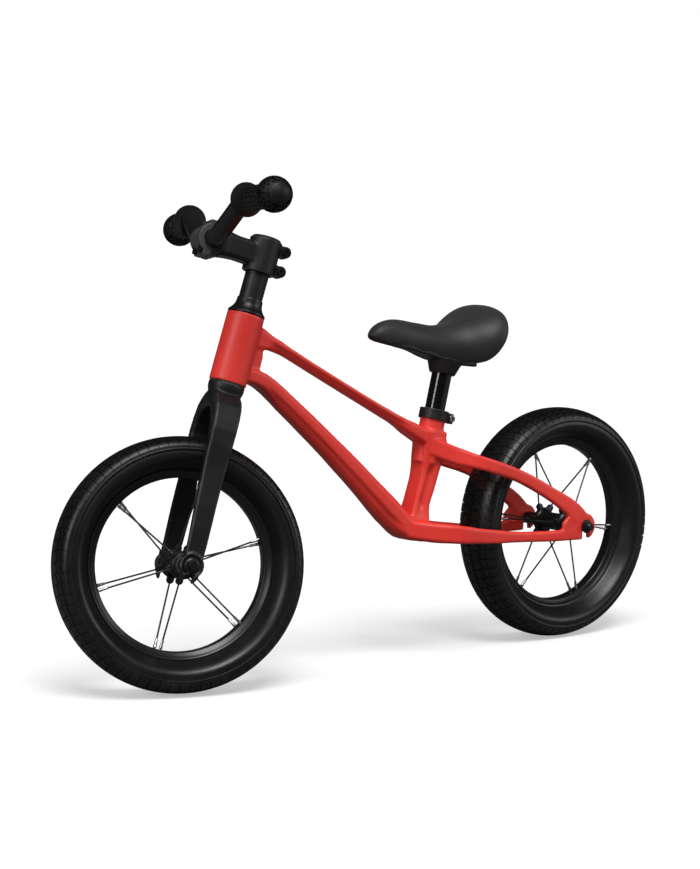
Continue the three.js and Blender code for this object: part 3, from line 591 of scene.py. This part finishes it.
def nearestOnLine(x, z, line):
    best = None
    for (x0, z0, h0), (x1, z1, h1) in zip(line, line[1:]):
        dx, dz = x1 - x0, z1 - z0
        length = dx * dx + dz * dz
        t = max(0.0, min(1.0, ((x - x0) * dx + (z - z0) * dz) / length))
        px, pz = x0 + dx * t, z0 + dz * t
        gone = math.hypot(x - px, z - pz)
        if best is None or gone < best[0]:
            side = (dx * (z - pz) - dz * (x - px)) / math.sqrt(length)
            best = (gone, side, h0 + (h1 - h0) * t)
    return best


def underCut(share, start, step, depth, foot):
    # how much of the half width is left: a quick step in, then a slow taper to the edge
    if share < start:
        return 1.0
    return 1.0 - depth * smoothStep((share - start) / step) - foot * smoothStep((share - start) / (1 - start))


def channel(share, s):
    # hollow running down the side of the seat limb, with raised edges fore and aft
    return s["hollow"] * smoothStep(1 - abs(share - s["hollowAt"]) / s["hollowHalf"])


def fadeAt(place, fade):
    start, rise, end, fall = fade
    return smoothStep((place - start) / rise) * smoothStep((end - place) / fall)


def widthLeft(x, z, s):
    # share of the casting's half width that stays at this place on its side
    down, top, seat = s["down"], s["top"], s["seat"]
    left = 1.0
    if down["from"] < x < down["to"] and z < down["slope"] * (x - down["from"]) + down["lift"]:
        gone, side, half = nearestOnLine(x, z, down["line"])
        if gone < half * down["reach"]:
            left = 1 - fadeAt(x, down["fade"]) * (1 - underCut(side / half, *down["cut"]))
    if top["from"] < x < top["to"] and z > top["slope"] * x + top["lift"]:
        gone, side, half = nearestOnLine(x, z, top["line"])
        if gone < half * top["reach"]:
            left = min(left, 1 - fadeAt(x, top["fade"]) * (1 - underCut(side / half, *top["cut"])))
    if seat["from"] < x < seat["to"] and seat["foot"] < z < seat["head"]:
        gone, side, half = nearestOnLine(x, z, seat["line"])
        if gone < half * seat["reach"]:
            left = min(left, 1 - fadeAt(z, seat["fade"]) * channel(side / half, seat))
    return left


def boreSleeve(mouth, post, s):
    # metal around the post's bore, so the remeshed limb stays closed there
    inner, outer, foot, top = s["inner"], s["outer"], s["foot"], s["top"]
    sleeve = spunShape("boreSleeve", [(inner, foot), (outer, foot), (outer, top), (inner, top)], 48)
    settle(sleeve, setAlong(post + seatAxis * ((mouth - post).dot(seatAxis)), seatAxis, Vector((1, 0, 0))))
    return sleeve


def shapeFrame(s):
    obj = copyOf("frame", "frameCasting")
    mouth = middleOf(spotsOf("seat_clamp_collar"))
    mouth.y = rearAxle.y
    post = middleOf(spotsOf("seat_post"))
    obj = joinPieces("frameCasting", [obj, boreSleeve(mouth, post, s["sleeve"])])
    remesh(obj, s["voxel"])
    for vert in obj.data.vertices:
        x, y, z = (vert.co - rearAxle) / mm
        vert.co.y = rearAxle.y + y * widthLeft(x, z, s) * mm
        postAt = (post.x - rearAxle.x) / mm - (z - (post.z - rearAxle.z) / mm) / s["seatLean"]
        tubeBack = postAt - s["tubeBack"]
        if z > s["tubeFoot"] and x < tubeBack:
            vert.co.x = rearAxle.x + tubeBack * mm
    ease(obj, s["softness"], s["rounds"])
    smoothShade(obj, 60)
    dress(obj, "redPaint", "frame", ["frame"])


shapeFrame(frameLook)
print("stage: frame casting")

# wheels

# a slant is where it starts across the tread, its run and its half width
tyreLook = {"steps": 720, "pitchSteps": 10, "grooveDepth": 1.5, "crown": 150.0, "crownSteps": 24,
            "treadFoot": 136.8, "wallHalf": 25, "inner": 145.5, "innerHalf": 18, "bow": 3.2, "bowReach": 29.0,
            "ribHalf": 1.2, "slant": (11.5, 5.5, 0.72), "edgeSlant": (21.5, 2.6, 0.66), "zigzagHalf": 1.0}
# half of the section in mm: radius and distance from the middle plane, bead to crown
tyreHalf = [(109.0, 9.6), (111.4, 12.0), (113.0, 14.4), (115.6, 18.6), (118.6, 23.2), (121.6, 26.8),
            (124.8, 29.0), (128.0, 29.9), (130.6, 29.7), (132.4, 29.2), (133.6, 29.2), (134.0, 30.1), (134.7, 30.3),
            (135.2, 29.6), (136.2, 29.2)]


def tyreOutline(s):
    half = list(tyreHalf)
    fromPoint, crown = half[-1], s["crown"]
    for i in range(1, s["crownSteps"] + 1):
        a = math.pi / 2 * i / s["crownSteps"]
        half.append((fromPoint[0] + (crown - fromPoint[0]) * math.sin(a) ** 0.9, fromPoint[1] * math.cos(a)))
    half[-1] = (crown, 0.0)
    other = [(r, -y) for r, y in reversed(half[:-1])]
    inner = [(109.0, -9.0), (118, -17), (130, -26), (140, -17), (144.5, 0), (140, 17), (130, 26), (118, 17),
             (109.0, 9.0)]
    return half + other + inner


def inGroove(step, across, s):
    # bowed grooves across each half, a slanted cut through each block and a zigzag in the middle
    place = abs(across)
    pitch = s["pitchSteps"]
    shift = pitch // 2 if across < 0 else 0
    bow = int(round(s["bow"] * math.sin(min(place / s["bowReach"], 1) * math.pi * 0.62)))
    row = (step + shift + bow) % pitch
    if row == 0 and place > s["ribHalf"]:
        return True
    start, run, half = s["slant"]
    if abs(place - (start + run * row / pitch)) < half:
        return True
    start, run, half = s["edgeSlant"]
    if abs(place - (start + run * row / pitch)) < half and row > 3:
        return True
    return place < s["zigzagHalf"] and row < 6


def shapeTyre(label, place, body, node, s):
    obj = spunShape(label, tyreOutline(s), s["steps"])
    turn = 2 * math.pi / s["steps"]
    selectNone(obj)
    for face in obj.data.polygons:
        c = face.center / mm
        radius = math.hypot(c.x, c.y)
        inward = face.normal.dot(Vector((c.x, c.y, 0))) < 0
        if radius < s["treadFoot"] or inward and abs(c.z) < s["wallHalf"]:
            continue
        if radius < s["inner"] and abs(c.z) < s["innerHalf"]:
            continue
        step = int(math.atan2(c.y, c.x) / turn + s["steps"])
        face.select = inGroove(step, c.z, s)
    edit(obj)
    bpy.ops.mesh.extrude_region_shrink_fatten(TRANSFORM_OT_shrink_fatten={"value": -s["grooveDepth"] * mm})
    leaveEdit()
    settle(obj, place)
    smoothShade(obj, 32)
    dress(obj, "tyreRubber", body, [node])


rimHalf = [(101.0, 0.0), (101.0, 5.0), (101.15, 6.4), (101.7, 7.3), (102.8, 7.9), (105.2, 9.0), (107.4, 10.6),
           (108.6, 11.8), (109.6, 12.4), (110.6, 12.5), (111.0, 12.2), (111.0, 11.0), (109.4, 10.2), (108.0, 8.6),
           (106.6, 7.4), (106.0, 5.0), (106.0, 0.0)]


def shapeRim(label, place, body, node):
    outline = rimHalf + [(r, -y) for r, y in reversed(rimHalf[1:-1])]
    obj = spunShape(label, outline, 192)
    settle(obj, place)
    smoothShade(obj, 40)
    dress(obj, "rimBlack", body, [node])


hubLook = {"barrel": 12.0, "bore": 7.2, "flange": 19, "flangeAt": 21, "thick": 4, "waist": 16.6, "flangeSteps": 180,
           "lobes": 6, "lobe": 4.5, "half": 26, "rings": (8.6, 10.6)}


def hubFlange(label, side, turnDegrees, s):
    clearPick()
    bpy.ops.mesh.primitive_circle_add(vertices=s["flangeSteps"], radius=s["flange"] * mm, fill_type="NGON")
    obj = bpy.context.object
    obj.name = label
    for vert in obj.data.vertices:
        a = math.atan2(vert.co.y, vert.co.x)
        reach = s["waist"]
        for i in range(s["lobes"]):
            c = math.radians(turnDegrees) + 2 * math.pi * i / s["lobes"]
            away = s["flange"] * math.cos(a - c)
            gap = s["lobe"] ** 2 - (s["flange"] * math.sin(a - c)) ** 2
            if away > 0 and gap > 0:
                reach = max(reach, away + math.sqrt(gap))
        vert.co = Vector((math.cos(a), math.sin(a), 0)) * reach * mm
    editAll(obj)
    bpy.ops.transform.translate(value=(0, 0, (side * s["flangeAt"] - s["thick"] / 2) * mm))
    bpy.ops.mesh.extrude_region_move(TRANSFORM_OT_translate={"value": (0, 0, s["thick"] * mm)})
    leaveEdit()
    mergeAndFace(obj)
    addBevel(obj, 0.6 * mm, 2, 40)
    applyAll(obj)
    return obj


def shapeHub(label, place, body, node, turnDegrees, s):
    half = [(s["bore"], s["half"]), (13.2, s["half"]), (15.6, 23.2), (15.6, 19), (13.4, 16.6), (s["barrel"], 13),
            (11.2, 6)]
    shell = half + [(r, -along) for r, along in reversed(half)]
    barrel = spunShape(label, roundedOutline(shell, 1.0), 64)
    flanges = [hubFlange(label + "Flange", side, turnDegrees, s) for side in (1, -1)]
    rings = []
    for side in (1, -1):
        for r in s["rings"]:
            low, high = side * (s["half"] - 0.1), side * (s["half"] + 0.5)
            ring = [(r, low), (r + 1.1, low), (r + 1.1, high), (r, high)]
            rings.append(spunShape(label + "Ring", roundedOutline(ring, 0.2, 2), 48))
    obj = joinPieces(label, [barrel] + flanges + rings)
    settle(obj, place)
    smoothShade(obj, 35)
    dress(obj, "hubBlack", body, [node])


spokeLook = {"wire": 1.1, "head": 2.0, "hook": 5.6, "nippleSeat": 10.6,
             "nipple": [(0, 0), (1.45, 0), (1.7, 0.5), (1.7, 6.8), (2.1, 7.4), (2.1, 10.6), (1.6, 11), (0, 11)]}


def spokeEnds(node, axle, along):
    spots = spotsOf(node)
    away = [((p - axle) - along * (p - axle).dot(along)).length for p in spots]
    near, far = min(away), max(away)
    low = [p for p, a in zip(spots, away) if a < near + 0.003]
    high = [p for p, a in zip(spots, away) if a > far - 0.002]
    return middleOf(low), middleOf(high)


def coat(obj, finish):
    obj.data.materials.clear()
    obj.data.materials.append(mats[finish])


def shapeSpoke(node, label, axle, side, body, s):
    low, high = spokeEnds(node, axle, side)
    run = (high - low).normalized()
    out = side if (low - axle).dot(side) > 0 else -side
    elbow = low - run * s["hook"] * mm
    wirePoints = [elbow + out * 3.1 * mm, elbow + out * 1.2 * mm, elbow + run * 1.5 * mm,
                  low + run * 3 * mm, high - run * 2 * mm]
    line = tube(label, wirePoints, s["wire"], 12, False)
    head = tube(label + "Head", [elbow + out * 2.4 * mm, elbow + out * 3.9 * mm], s["head"], 12, False)
    nut = spunShape(label + "Nipple", s["nipple"], 16, closed=False)
    settle(nut, setAlong(high - run * s["nippleSeat"] * mm, run, out))
    coat(line, "spokeSteel")
    coat(head, "spokeSteel")
    coat(nut, "nippleSteel")
    obj = joinPieces(label, [line, head, nut])
    smoothShade(obj, 40)
    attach(obj, body)
    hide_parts(node)


def hexNut(label, height, across, flange):
    # flanged nut with chamfered corners, seen from outside
    clearPick()
    bpy.ops.mesh.primitive_cylinder_add(vertices=6, radius=across * mm, depth=(height - 1) * mm)
    nut = bpy.context.object
    nut.name = label
    editAll(nut)
    bpy.ops.transform.translate(value=(0, 0, (1 + (height - 1) / 2) * mm))
    leaveEdit()
    addBevel(nut, 0.5 * mm, 2, 30)
    applyAll(nut)
    disc = spunShape(label + "Flange", [(5.2, 0), (flange - 0.4, 0), (flange, 0.4), (flange, 1.2),
                                        (flange - 1.2, 2.0), (across - 0.4, 2.6), (5.2, 2.6)], 48)
    washer = spunShape(label + "Face", [(5.2, height - 1.2), (across - 1.4, height - 1.2), (across - 1.4, height + 0.2),
                                        (across - 1.9, height + 0.5), (5.2, height + 0.5)], 40)
    return joinPieces(label, [nut, disc, washer])


axleLook = {"rod": 4.8, "root": 4.35, "turns": 9, "pitch": 1.0, "cone": 8.0, "coneFoot": 26.8}


def shapeAxle(label, place, body, node, reach, coneTo, s):
    # threaded tips outside, smooth between
    rod, cone = s["rod"], s["cone"]
    corners = [(0, reach), (3.9, reach), (4.6, reach - 0.8)]
    for i in range(s["turns"]):
        base = reach - 1.2 - i * s["pitch"]
        corners += [(rod, base), (s["root"], base - 0.5)]
    corners += [(rod, reach - 11), (rod, coneTo), (cone - 0.4, coneTo), (cone, coneTo - 0.6), (cone, s["coneFoot"]),
                (rod, s["coneFoot"] - 0.4)]
    whole = corners + [(r, -y) for r, y in reversed(corners)]
    obj = spunShape(label, whole, 40, closed=False)
    settle(obj, place)
    smoothShade(obj, 30)
    dress(obj, "boltBlack", body, [node])


def shapeWheel(label, place, spinBody, axleBody, nut, hubTurn, seat, coneTo):
    shapeTyre(label + "Tyre", place, spinBody, label + "_tyre", tyreLook)
    shapeRim(label + "Rim", place, spinBody, label + "_rim")
    shapeHub(label + "Hub", place, spinBody, label + "_hub", hubTurn, hubLook)
    axle = place.translation
    side = place.to_3x3() @ Vector((0, 0, 1))
    for node in [n for n in bodies[spinBody] if n.startswith(label + "_spoke")]:
        name = label + "Spoke" + node.split("_spoke_")[1].replace("_", "").capitalize()
        shapeSpoke(node, name, axle, side, spinBody, spokeLook)
    shapeAxle(label + "Axle", place, axleBody, label + "_axle", seat + nut["height"] + 4, coneTo, axleLook)
    for hand, way in (("left", 1), ("right", -1)):
        n = hexNut(label + "Nut" + hand.capitalize(), nut["height"], nut["across"], nut["flange"])
        turn = Matrix.Rotation(math.pi, 4, "X") if way < 0 else Matrix.Identity(4)
        settle(n, place @ Matrix.Translation(Vector((0, 0, way * seat * mm))) @ turn)
        mergeAndFace(n, 0.000005)
        smoothShade(n, 30)
        dress(n, "boltBlack", axleBody if label == "front" else "frame", [f"{label}_axle_nut_{hand}"])


def bodyOf(node):
    return next(name for name, members in bodies.items() if node in members)


nutLook = {"height": 6.0, "across": 6.4, "flange": 8.8}
# the hub's turn in degrees, then mm from the wheel's middle to the nuts and the cones
wheelLook = {"front": {"hubTurn": -29, "seat": 58.3, "coneTo": 50.2},
             "rear": {"hubTurn": -9, "seat": 59.3, "coneTo": 51.7}}
shapeWheel("front", frontWheelPlace, "front_wheel", bodyOf("front_axle"), nutLook, **wheelLook["front"])
shapeWheel("rear", rearWheelPlace, "rear_wheel", bodyOf("rear_axle"), nutLook, **wheelLook["rear"])
print("stage: wheels")

# fork, head parts and stem


castSoftness = 0.5


def castPiece(node, label, finish, body, slot, voxel, rounds):
    # a copy of the solid with every corner eased as a casting's is
    obj = copyOf(node, label)
    remesh(obj, voxel)
    ease(obj, castSoftness, rounds)
    smoothShade(obj, 60)
    dress(obj, finish, body, [node])
    return obj


# name, finish, body, slot, voxel in mm, rounds of easing
castLook = {
    "fork": ("forkCasting", "forkBlack", "steering", "black_metal", 1.5, 3),
    "stem": ("stemCasting", "stemBlack", "steering", "black_metal", 0.8, 3),
    "stem_faceplate": ("stemFace", "faceGrey", "steering", "grey_alloy", 0.6, 2),
    "seat_clamp_collar": ("seatCollar", "stemBlack", "frame", "black_metal", 0.6, 2),
    "saddle_base": ("saddleBase", "basePlastic", "seat", "black_plastic", 1.1, 6),
}
for node, look in castLook.items():
    castPiece(node, *look)

# the tray's tail is drawn in under the cushion, which rises there
trayLook = {"tail": 72, "left": 0.15}
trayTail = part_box("saddle_cushion")[0][0] + trayLook["tail"] * mm
for vert in bpy.data.objects["saddleBase"].data.vertices:
    if vert.co.x < trayTail:
        vert.co.x = trayTail + (vert.co.x - trayTail) * trayLook["left"]

# in mm from the middle of the bar clamp: heights along the steering axis, and the stem's reach
headLook = {"coverFoot": -71.7, "coverTop": -52.6, "capSeat": 20.8, "stemReach": 67}
steererPlace = stemPlace @ Matrix.Translation((-headLook["stemReach"] * mm, 0, 0))


def shapeCover(s):
    low, high = s["coverFoot"], s["coverTop"]
    corners = [(14.6, low), (22.3, low), (22.5, low + 0.8), (22.3, low + 2.4), (20.6, low + 4.2), (18.6, low + 6.6),
               (17.0, low + 9.4), (15.9, low + 12.6), (15.4, high - 1.0), (15.1, high), (14.6, high)]
    obj = spunShape("headsetCover", roundedOutline(corners, 0.7), 72)
    settle(obj, steererPlace)
    smoothShade(obj, 35)
    dress(obj, "coverPlastic", "steering", ["headset_cover"])


def shapeTopCap(s):
    seat = s["capSeat"]
    corners = [(0, seat), (17.3, seat), (17.5, seat + 1.2), (16.4, seat + 2.3), (14, seat + 2.9), (6.0, seat + 3.0),
               (5.6, seat + 1.6), (3.2, seat + 1.4), (3.0, seat + 0.9), (0, seat + 0.9)]
    obj = spunShape("steererCap", roundedOutline(corners, 0.3, 2, False), 56, closed=False)
    settle(obj, steererPlace)
    smoothShade(obj, 35)
    dress(obj, "coverPlastic", "steering", ["steerer_top_cap"])


shapeCover(headLook)
shapeTopCap(headLook)

# socket screws
screwLook = {"head": 4.6, "rise": 4.0, "shank": 3.0, "socket": 2.4, "socketDepth": 2.2}


def shapeScrew(label, node, along, body, s):
    # the head's face is at `top` and the shank runs along `along`
    spots = spotsOf(node)
    low = min(p.dot(along) for p in spots)
    length = (max(p.dot(along) for p in spots) - low) / mm
    top = middleOf([p for p in spots if p.dot(along) < low + 0.5 * mm])
    corners = [(0, 0), (s["socket"], 0), (s["head"], 0), (s["head"], s["rise"]), (s["shank"], s["rise"]),
               (s["shank"], length - 0.6), (s["shank"] - 0.6, length), (0, length)]
    obj = spunShape(label, roundedOutline(corners, 0.5, 3, False), 36, closed=False)
    clearPick()
    bpy.ops.mesh.primitive_cylinder_add(vertices=6, radius=s["socket"] * mm, depth=2 * s["socketDepth"] * mm)
    cutAway(obj, bpy.context.object)
    ahead = steerAxis if abs(along.dot(steerAxis)) < 0.9 else Vector((1, 0, 0))
    settle(obj, setAlong(top, along, ahead))
    smoothShade(obj, 32)
    dress(obj, "boltSteel" if node == "seat_clamp_bolt" else "boltBlack", body, [node])


screws = {
    "stemBoltLow": ("stem_clamp_bolt_1", -frontSide, "steering"),
    "stemBoltHigh": ("stem_clamp_bolt_2", -frontSide, "steering"),
    "faceBoltLeft": ("faceplate_bolt_1", -frontAhead, "steering"),
    "faceBoltRight": ("faceplate_bolt_2", -frontAhead, "steering"),
    "seatBolt": ("seat_clamp_bolt", Vector((0, -1, 0)), "frame"),
}
for label, (node, along, body) in screws.items():
    shapeScrew(label, node, along, body, screwLook)


bearingLook = {"recess": 0.5, "corner": 0.25}


def shapeBearing(node, label, body, along, s):
    # sealed cartridge: two races with a recessed shield between
    spots = spotsOf(node)
    middle = middleOf(spots)
    heights = [(p - middle).dot(along) for p in spots]
    radii = [((p - middle) - along * (p - middle).dot(along)).length for p in spots]
    a, b = min(heights) / mm, max(heights) / mm
    inner, outer = min(radii) / mm, max(radii) / mm
    third = (outer - inner) / 3
    near, far = inner + third, outer - third
    corners = [(inner, a), (near, a), (near, a + s["recess"]), (far, a + s["recess"]), (far, a), (outer, a),
               (outer, b), (far, b), (far, b - s["recess"]), (near, b - s["recess"]), (near, b), (inner, b)]
    obj = spunShape(label, roundedOutline(corners, s["corner"], 2), 48)
    ahead = Vector((1, 0, 0)) if abs(along.x) < 0.8 else Vector((0, 0, 1))
    settle(obj, setAlong(middle, along, ahead))
    smoothShade(obj, 32)
    dress(obj, "nippleSteel", body, [node])


shapeBearing("headset_bearing_lower", "headBearingLower", "frame", steerAxis, bearingLook)
shapeBearing("headset_bearing_upper", "headBearingUpper", "frame", steerAxis, bearingLook)
for hand in ("left", "right"):
    for end, side in (("front", frontSide), ("rear", Vector((0, 1, 0)))):
        shapeBearing(f"{end}_hub_bearing_{hand}", end + "HubBearing" + hand.capitalize(), end + "_wheel", side,
                     bearingLook)
print("stage: fork, stem and head parts")

# handlebar and grips

barLook = {"radius": 11, "half": 202, "rise": 35.5, "sweep": 6, "gripStart": 122}


def barSweepAt(y, s):
    return -(abs(y) - s["gripStart"]) * math.tan(math.radians(s["sweep"]))


def shapeBar(s):
    rise = s["rise"]
    half = [(0, 0, 0), (0, 24, 0), (0, 33, 1.6), (0.2, 52, 8.2), (0.4, 76, 18.6), (0.6, 98, 28.4),
            (barSweepAt(112, s), 112, rise - 1.4), (barSweepAt(124, s), 124, rise),
            (barSweepAt(150, s), 150, rise), (barSweepAt(s["half"], s), s["half"], rise)]
    line = [(x, -y, z) for x, y, z in reversed(half[1:])] + half
    obj = tube("handleBar", [Vector(p) * mm for p in line], s["radius"], 32)
    settle(obj, stemPlace)
    smoothShade(obj, 40)
    dress(obj, "barBlack", "handlebar_group", ["handlebar"])


# slots are mm off the middle and half length
gripLook = {"around": 96, "barsAround": 16, "barrel": 13.5, "ridge": 1.0, "ridgesFrom": 17.4, "ridgesTo": 60.4,
            "ridgePitch": 11.0, "ridgeLength": 9.6, "rowStep": 1.25, "ball": 20.9, "ballAt": 81.5,
            "holeHalf": 2.2, "holeDeep": 1.5, "holesFrom": -0.72, "capFrom": 0.80,
            "slots": ((-7.5, 6.4), (-2.5, 8.6), (2.5, 8.6), (7.5, 6.4)), "slotWidth": 1.9, "slotDepth": 4.6}


def shapeBarrel(label, s):
    rows = [(11.3, 1.0), (16.6, 0.4), (19.2, -0.1), (20.0, 0.4), (19.9, 1.6), (18.6, 4.2), (17.0, 7.2), (15.6, 10.4),
            (14.6, 13.2), (s["barrel"], 15.6)]
    at = 15.6
    while at < 61:
        at += s["rowStep"]
        rows.append((s["barrel"], at))
    rows += [(14.6, at + 0.5), (14.8, at + 1.5), (14.2, at + 2.4), (14.2, at + 4), (14.9, at + 4.6), (14.9, at + 6),
             (14.0, at + 6.6), (14.0, at + 12), (11.3, at + 12)]
    obj = spunShape(label, rows, s["around"])
    turn = 2 * math.pi / s["around"]
    each = s["around"] // s["barsAround"]
    selectNone(obj)
    for face in obj.data.polygons:
        c = face.center / mm
        if math.hypot(c.x, c.y) < s["barrel"] - 0.9 or not s["ridgesFrom"] < c.z < s["ridgesTo"]:
            continue
        step = int(math.atan2(c.y, c.x) / turn + s["around"])
        ring = (c.z - s["ridgesFrom"]) % s["ridgePitch"]
        face.select = step % each < each - 2 and ring < s["ridgeLength"]
    edit(obj)
    bpy.ops.mesh.extrude_region_shrink_fatten(TRANSFORM_OT_shrink_fatten={"value": s["ridge"] * mm})
    leaveEdit()
    addBevel(obj, 0.25 * mm, 1, 50)
    applyAll(obj)
    return obj


def shapeBall(label, s):
    clearPick()
    bpy.ops.mesh.primitive_ico_sphere_add(subdivisions=1, radius=s["ball"] * mm)
    ball = bpy.context.object
    ball.name = label
    editAll(ball)
    bpy.ops.mesh.subdivide(number_cuts=3)
    leaveEdit()
    for vert in ball.data.vertices:
        vert.co = vert.co.normalized() * s["ball"] * mm
    editAll(ball, "VERT")
    bpy.ops.mesh.bevel(offset=s["holeHalf"] * mm, affect="VERTICES")
    leaveEdit()
    selectNone(ball)
    for face in ball.data.polygons:
        sides = [(ball.data.vertices[a].co - ball.data.vertices[b].co).length for a, b in face.edge_keys]
        even = max(sides) < 1.25 * min(sides) and len(sides) >= 5
        face.select = even and s["holesFrom"] < face.center.normalized().z < s["capFrom"]
    edit(ball)
    bpy.ops.mesh.inset(thickness=0.2 * mm, use_individual=True)
    bpy.ops.mesh.extrude_region_shrink_fatten(TRANSFORM_OT_shrink_fatten={"value": -s["holeDeep"] * mm})
    leaveEdit()
    return ball


def shapeGripEnd(label, s):
    # round cap with slots across the ball's end
    corners = [(0, 13), (12.6, 13.2), (13.0, 15.6), (12.4, 17.0), (9.0, 18.8), (5.0, 19.9), (0, 20.3)]
    disc = spunShape(label, roundedOutline(corners, 0.4, 2, False), 64, closed=False)
    for offset, half in s["slots"]:
        clearPick()
        bpy.ops.mesh.primitive_cube_add(size=1, location=(offset * mm, 0, 20.4 * mm),
                                        scale=(s["slotWidth"] * mm, 2 * half * mm, s["slotDepth"] * mm))
        cutAway(disc, bpy.context.object)
    return disc


def shapeGrip(label, node, side, s):
    barrel = shapeBarrel(label, s)
    ball = shapeBall(label + "Ball", s)
    cap = shapeGripEnd(label + "End", s)
    lift = Matrix.Translation((0, 0, s["ballAt"] * mm))
    settle(ball, lift)
    settle(cap, lift)
    obj = joinPieces(label, [barrel, ball, cap])
    sweep = math.radians(barLook["sweep"])
    along = stemPlace.to_3x3() @ Vector((-math.sin(sweep), side * math.cos(sweep), 0))
    start = stemPlace @ (Vector((0, side * barLook["gripStart"], barLook["rise"])) * mm)
    settle(obj, setAlong(start, along, steerAxis))
    smoothShade(obj, 34)
    dress(obj, "gripRubber", "handlebar_group", [node])


shapeBar(barLook)
shapeGrip("gripLeft", "grip_left", 1, gripLook)
shapeGrip("gripRight", "grip_right", -1, gripLook)
print("stage: handlebar and grips")

# seat


# the foot stands short of the solid's, so it clears the eased floor of the bore when lowered
postLook = {"radius": 12.7, "inner": 10.7, "footShort": 4, "marksFrom": 34, "marks": 7, "markPitch": 7, "markDeep": 0.2}


def shapePost(s):
    spots = spotsOf("seat_post")
    middle = middleOf(spots)
    heights = [(p - middle).dot(seatAxis) for p in spots]
    low, high = min(heights) / mm + s["footShort"], max(heights) / mm
    outer, inner, mark = s["radius"], s["inner"], s["radius"] - s["markDeep"]
    corners = [(inner, low + 0.6), (inner + 0.5, low), (outer - 0.4, low), (outer, low + 0.5)]
    at = low + s["marksFrom"]
    for _ in range(s["marks"]):
        corners += [(outer, at), (mark, at + 0.25), (mark, at + 0.55), (outer, at + 0.8)]
        at += s["markPitch"]
    corners += [(outer, high), (inner, high)]
    obj = spunShape("seatPost", corners, 72)
    settle(obj, setAlong(middle, seatAxis, Vector((1, 0, 0))))
    smoothShade(obj, 34)
    dress(obj, "postGloss", "seat", ["seat_post"])


# stations from the tail forward: reach, half width share, top and rim in mm above the cup
saddleLook = {
    "around": 72, "along": 64, "cupBelow": 12, "sideShare": 0.72, "turn": 0.64, "fullness": 0.92, "hollow": 5,
    "endRound": 9, "endFullness": 0.42,
    "stations": [(0, 0.60, 77, 66), (11, 0.80, 83, 53), (27, 1.0, 84, 36), (52, 0.94, 74.5, 17),
                 (76, 0.67, 63.5, 12.6), (103, 0.465, 60, 18), (135, 0.35, 64.5, 29), (172, 0.32, 70, 38),
                 (199, 0.25, 65.5, 43), (210, 0.2, 57, 46)],
}


def between(stations, reach):
    # smooth curve through the stations
    last = len(stations) - 1
    i = max(1, next((k for k, row in enumerate(stations) if row[0] >= reach), last))
    four = [stations[min(max(i + k, 0), last)] for k in (-2, -1, 0, 1)]
    (x0, *a), (x1, *b), (x2, *c), (x3, *d) = four
    span = x2 - x1
    t = (reach - x1) / span
    out = []
    for p, q, r, w in zip(a, b, c, d):
        m1 = (r - p) / (x2 - x0) * span
        m2 = (w - q) / (x3 - x1) * span
        out.append((2 * t**3 - 3 * t**2 + 1) * q + (t**3 - 2 * t**2 + t) * m1
                   + (3 * t**2 - 2 * t**3) * r + (t**3 - t**2) * m2)
    return out


def shapeSaddle(s):
    low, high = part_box("saddle_cushion")
    tail, length = low[0], high[0] - low[0]
    half = (high[1] - low[1]) / 2
    cup = low[2] - s["cupBelow"] * mm
    clearPick()
    bpy.ops.mesh.primitive_uv_sphere_add(segments=s["around"], ring_count=s["along"], radius=1)
    obj = bpy.context.object
    obj.name = "saddleCushion"
    reachOf = s["stations"][-1][0]
    side = s["sideShare"] * math.pi
    edgeTurn = s["turn"] * math.pi
    for vert in obj.data.vertices:
        polar = max(-1.0, min(1.0, vert.co.z))
        angle = abs(math.atan2(vert.co.x, vert.co.y))
        reach = reachOf * (1 - polar) / 2
        wide, top, rim = between(s["stations"], reach)
        ends = (1 - abs(polar) ** s["endRound"]) ** s["endFullness"]
        if angle < side:
            turn = angle / side * s["turn"] * math.pi
            foot = math.cos(edgeTurn)
            y = math.sin(turn) ** s["fullness"] * wide
            z = rim + (top - rim) * (math.cos(turn) - foot) / (1 - foot)
        else:
            inward = (angle - side) / (math.pi - side)
            y = math.sin(edgeTurn) ** s["fullness"] * wide * (1 - inward)
            z = rim + s["hollow"] * smoothStep(inward * 2.2)
        middle = (top + rim) / 2
        hand = 1 if vert.co.x > 0 else -1
        vert.co = Vector((tail + length * reach / reachOf, hand * y * half * ends,
                          cup + (middle + (z - middle) * ends) * mm))
    mergeAndFace(obj)
    smoothShade(obj, 46)
    dress(obj, "saddleSkin", "seat", ["saddle_cushion"])


shapePost(postLook)
shapeSaddle(saddleLook)
print("stage: seat")
